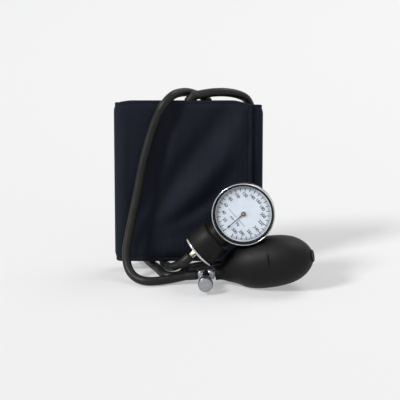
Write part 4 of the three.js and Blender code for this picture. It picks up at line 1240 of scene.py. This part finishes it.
# %% [markdown]
# ### Stitching
# Both hems and the outer end are sewn with navy thread. One stitch is a drawn-out grain of thread; it is
# modelled once, and its copies are laid in the sewn groove with the cloth's own helper.

# %% Stitches
STITCH = 2.6
SEAM_START = 6


def stitch_frame(distance, height, over, up):
    """Where a stitch lies on the cloth's outer face, with its length along the seam"""
    place = cloth_point(distance, height, 1)
    along = (cloth_point(distance + over, height + up, 1) - place).normalized()
    beside = (cloth_point(distance + up, height - over, 1) - place).normalized()
    out = along.cross(beside).normalized()
    turned = Matrix((out.cross(along), out, along)).transposed().to_4x4()
    return Matrix.Translation(place) @ turned


deselect_all()
bpy.ops.mesh.primitive_uv_sphere_add(segments=6, ring_count=5, radius=1)
grain_of_thread = bpy.context.object
grain_of_thread.scale = mm(0.2, 0.2, 1.05)
bpy.ops.object.transform_apply(location=False, rotation=False, scale=True)
seams = []
for edge in (SEAM, HIGH - SEAM):
    count = int((STRIP_LENGTH - 2 * SEAM_START) / STITCH)
    seams += [stitch_frame(SEAM_START + i * STITCH, edge, 0.5, 0) for i in range(count)]
for across in (SEAM, SEAM + 3):
    count = int((HIGH - 2 * SEAM_START) / STITCH)
    seams += [stitch_frame(across, SEAM_START + i * STITCH, 0, 0.5) for i in range(count)]
stitches = []
for place in seams:
    stitch = own_copy(grain_of_thread)
    stitch.data.transform(place)
    stitches.append(stitch)
bpy.data.objects.remove(grain_of_thread)
thread_finish = simple_finish(
    "navy_thread", tone(36, 42, 56), tone(24, 29, 40), (0.5, 0.7), 0.0, 0.002, 0.0003, 2e-5,
    Specular_IOR_Level=0.3,
)
dress(smooth(fuse("hem_stitches", *stitches), 60), thread_finish, "nylon", "instrument")
print(len(seams), "stitches")

# %% [markdown]
# ## Soft parts inside the roll
# The rubber bladder lies in the sleeve's front layer, and the hook and loop tapes lie between layers.
# They bend with the cloth. Each starts as a merged copy of the frame's own solid, is subdivided until it
# can bend, and is then moved by the same wave as the cloth.

# %% Bladder and tapes
tape_cloth = simple_finish(
    "hook_and_loop_tape", tone(30, 32, 40), tone(20, 22, 28), (0.8, 0.95), 0.0, 0.003, 0.0006, 2e-4
)
latex = simple_finish(
    "matt_latex", tone(64, 64, 66), tone(52, 52, 54), (0.55, 0.7), 0.0, 0.01, 0.0008, 3e-5
)
BACK_TO_FLAT = CUFF.inverted()


def bent_copy(node, name, finish, slot, cuts):
    """A copy of a frame node that bends with the cloth"""
    copy = own_copy(bpy.data.objects[node])
    copy.name = copy.data.name = name
    copy.parent = None
    copy.matrix_world = Matrix.Identity(4)
    select_only(copy)
    edit()
    bpy.ops.mesh.remove_doubles(threshold=1e-6)
    bpy.ops.mesh.subdivide(number_cuts=cuts)
    copy = done()
    for vertex in copy.data.vertices:
        x, y, z = (BACK_TO_FLAT @ vertex.co) * 1000
        vertex.co = CUFF @ Vector((x / 1000, (y - wave(x, z)) / 1000, z / 1000))
    return dress(smooth(copy, 40), finish, slot, "instrument", node)


bent_copy("bladder", "latex_bladder", latex, "bladder_rubber", 5)
bent_copy("hook_tape", "hook_strip", tape_cloth, "tape", 9)
bent_copy("loop_tape", "loop_strip", tape_cloth, "tape", 9)

# %% [markdown]
# ## Hard inner parts
# Parts that show only through gaps keep the frame's own shapes and get the right finish: the
# movement, the screws, the clip and the bladder's hose stubs.

# %% Finishes of the frame's own nodes
coats = {
    "brass": brass, "steel": steel, "bladder_rubber": latex, "chrome": chrome,
    "nickel": nickel, "black_plastic": black_plastic, "case": case_enamel,
}
slots = {part["node"]: part["material_slot"] for part in frame["record"]["subparts"]}
coated = 0
for name, slot in slots.items():
    obj = bpy.data.objects.get(name)
    if obj is None or slot not in coats or obj.hide_render:
        continue
    coat_with(obj, coats[slot])
    coated += 1
print("coated", coated, "nodes")

# %% [markdown]
# ## Floor and light
# The object stands on a plain pale table. A soft sun from the left gives the shadow that falls to the
# right, and it lights the whole table evenly. A wide lamp at the upper right puts a broad sheen on the
# bulb, and the world lights the rest. Part of the table's paleness is its own, for the rays that see it.

# %% Floor
PALE_SHARE = 0.4


def seen_rays(finish):
    """1 for the rays that the camera sees, also by way of metal and glass, and otherwise 0"""
    rays = add_node(finish, "ShaderNodeLightPath").outputs
    bounced = calculate(finish, "MAXIMUM", rays["Is Glossy Ray"], rays["Is Transmission Ray"])
    return calculate(finish, "MAXIMUM", rays["Is Camera Ray"], bounced)


deselect_all()
bpy.ops.mesh.primitive_plane_add(size=12, location=(0, 2, -0.0002))
floor = bpy.context.object
floor.name = "table"
table_finish = new_finish("pale_table", tone(240, 240, 241), 0.9, Specular_IOR_Level=0.1)
pale = add_node(table_finish, "ShaderNodeEmission", {"Color": (*tone(243, 243, 244), 1), "Strength": 1.0})
paleness = calculate(table_finish, "MULTIPLY", seen_rays(table_finish), PALE_SHARE)
plain_surface = shader_of(table_finish).outputs["BSDF"]
show_surface(table_finish, choose(table_finish, paleness, plain_surface, pale.outputs["Emission"]))
coat_with(floor, table_finish)
print("table ready")

# %% Lamps
WORLD_LIGHT = 0.26
KEY_WAY = Vector((-0.68, -0.4, 0.62))
bpy.ops.object.light_add(type="SUN", location=KEY_WAY)
key = bpy.context.object
key.name = "key_sun"
key.data.energy = 2.3
key.data.angle = radians(14)
key.rotation_euler = (-KEY_WAY).to_track_quat("-Z", "Y").to_euler()

FILL_PLACE = Vector((1.46, 1.22, 3.57))
bpy.ops.object.light_add(type="AREA", location=FILL_PLACE)
fill = bpy.context.object
fill.name = "sheen_lamp"
fill.data.shape = "SQUARE"
fill.data.size = 2.2
fill.data.energy = 62
fill.rotation_euler = (Vector((0, 0, 0.06)) - FILL_PLACE).to_track_quat("-Z", "Y").to_euler()

world = bpy.context.scene.world or bpy.data.worlds.new("studio")
bpy.context.scene.world = world
world.use_nodes = True
world.node_tree.nodes.clear()
out = add_node(world, "ShaderNodeOutputWorld")
seen = add_node(world, "ShaderNodeBackground", {"Color": (*tone(242, 242, 243), 1), "Strength": 1.0})
lit = add_node(world, "ShaderNodeBackground", {"Color": (1, 1, 1, 1), "Strength": WORLD_LIGHT})
sky = choose(world, seen_rays(world), lit.outputs["Background"], seen.outputs["Background"])
wire(world, sky, out.inputs["Surface"])
bpy.context.scene.view_settings.view_transform = "Standard"
print("lamps and world ready")

# %% [markdown]
# ## Size
# The dressed model must be as large as the frame. Here the view layer is only brought up to date.

# %% Size and end
bpy.context.view_layer.update()
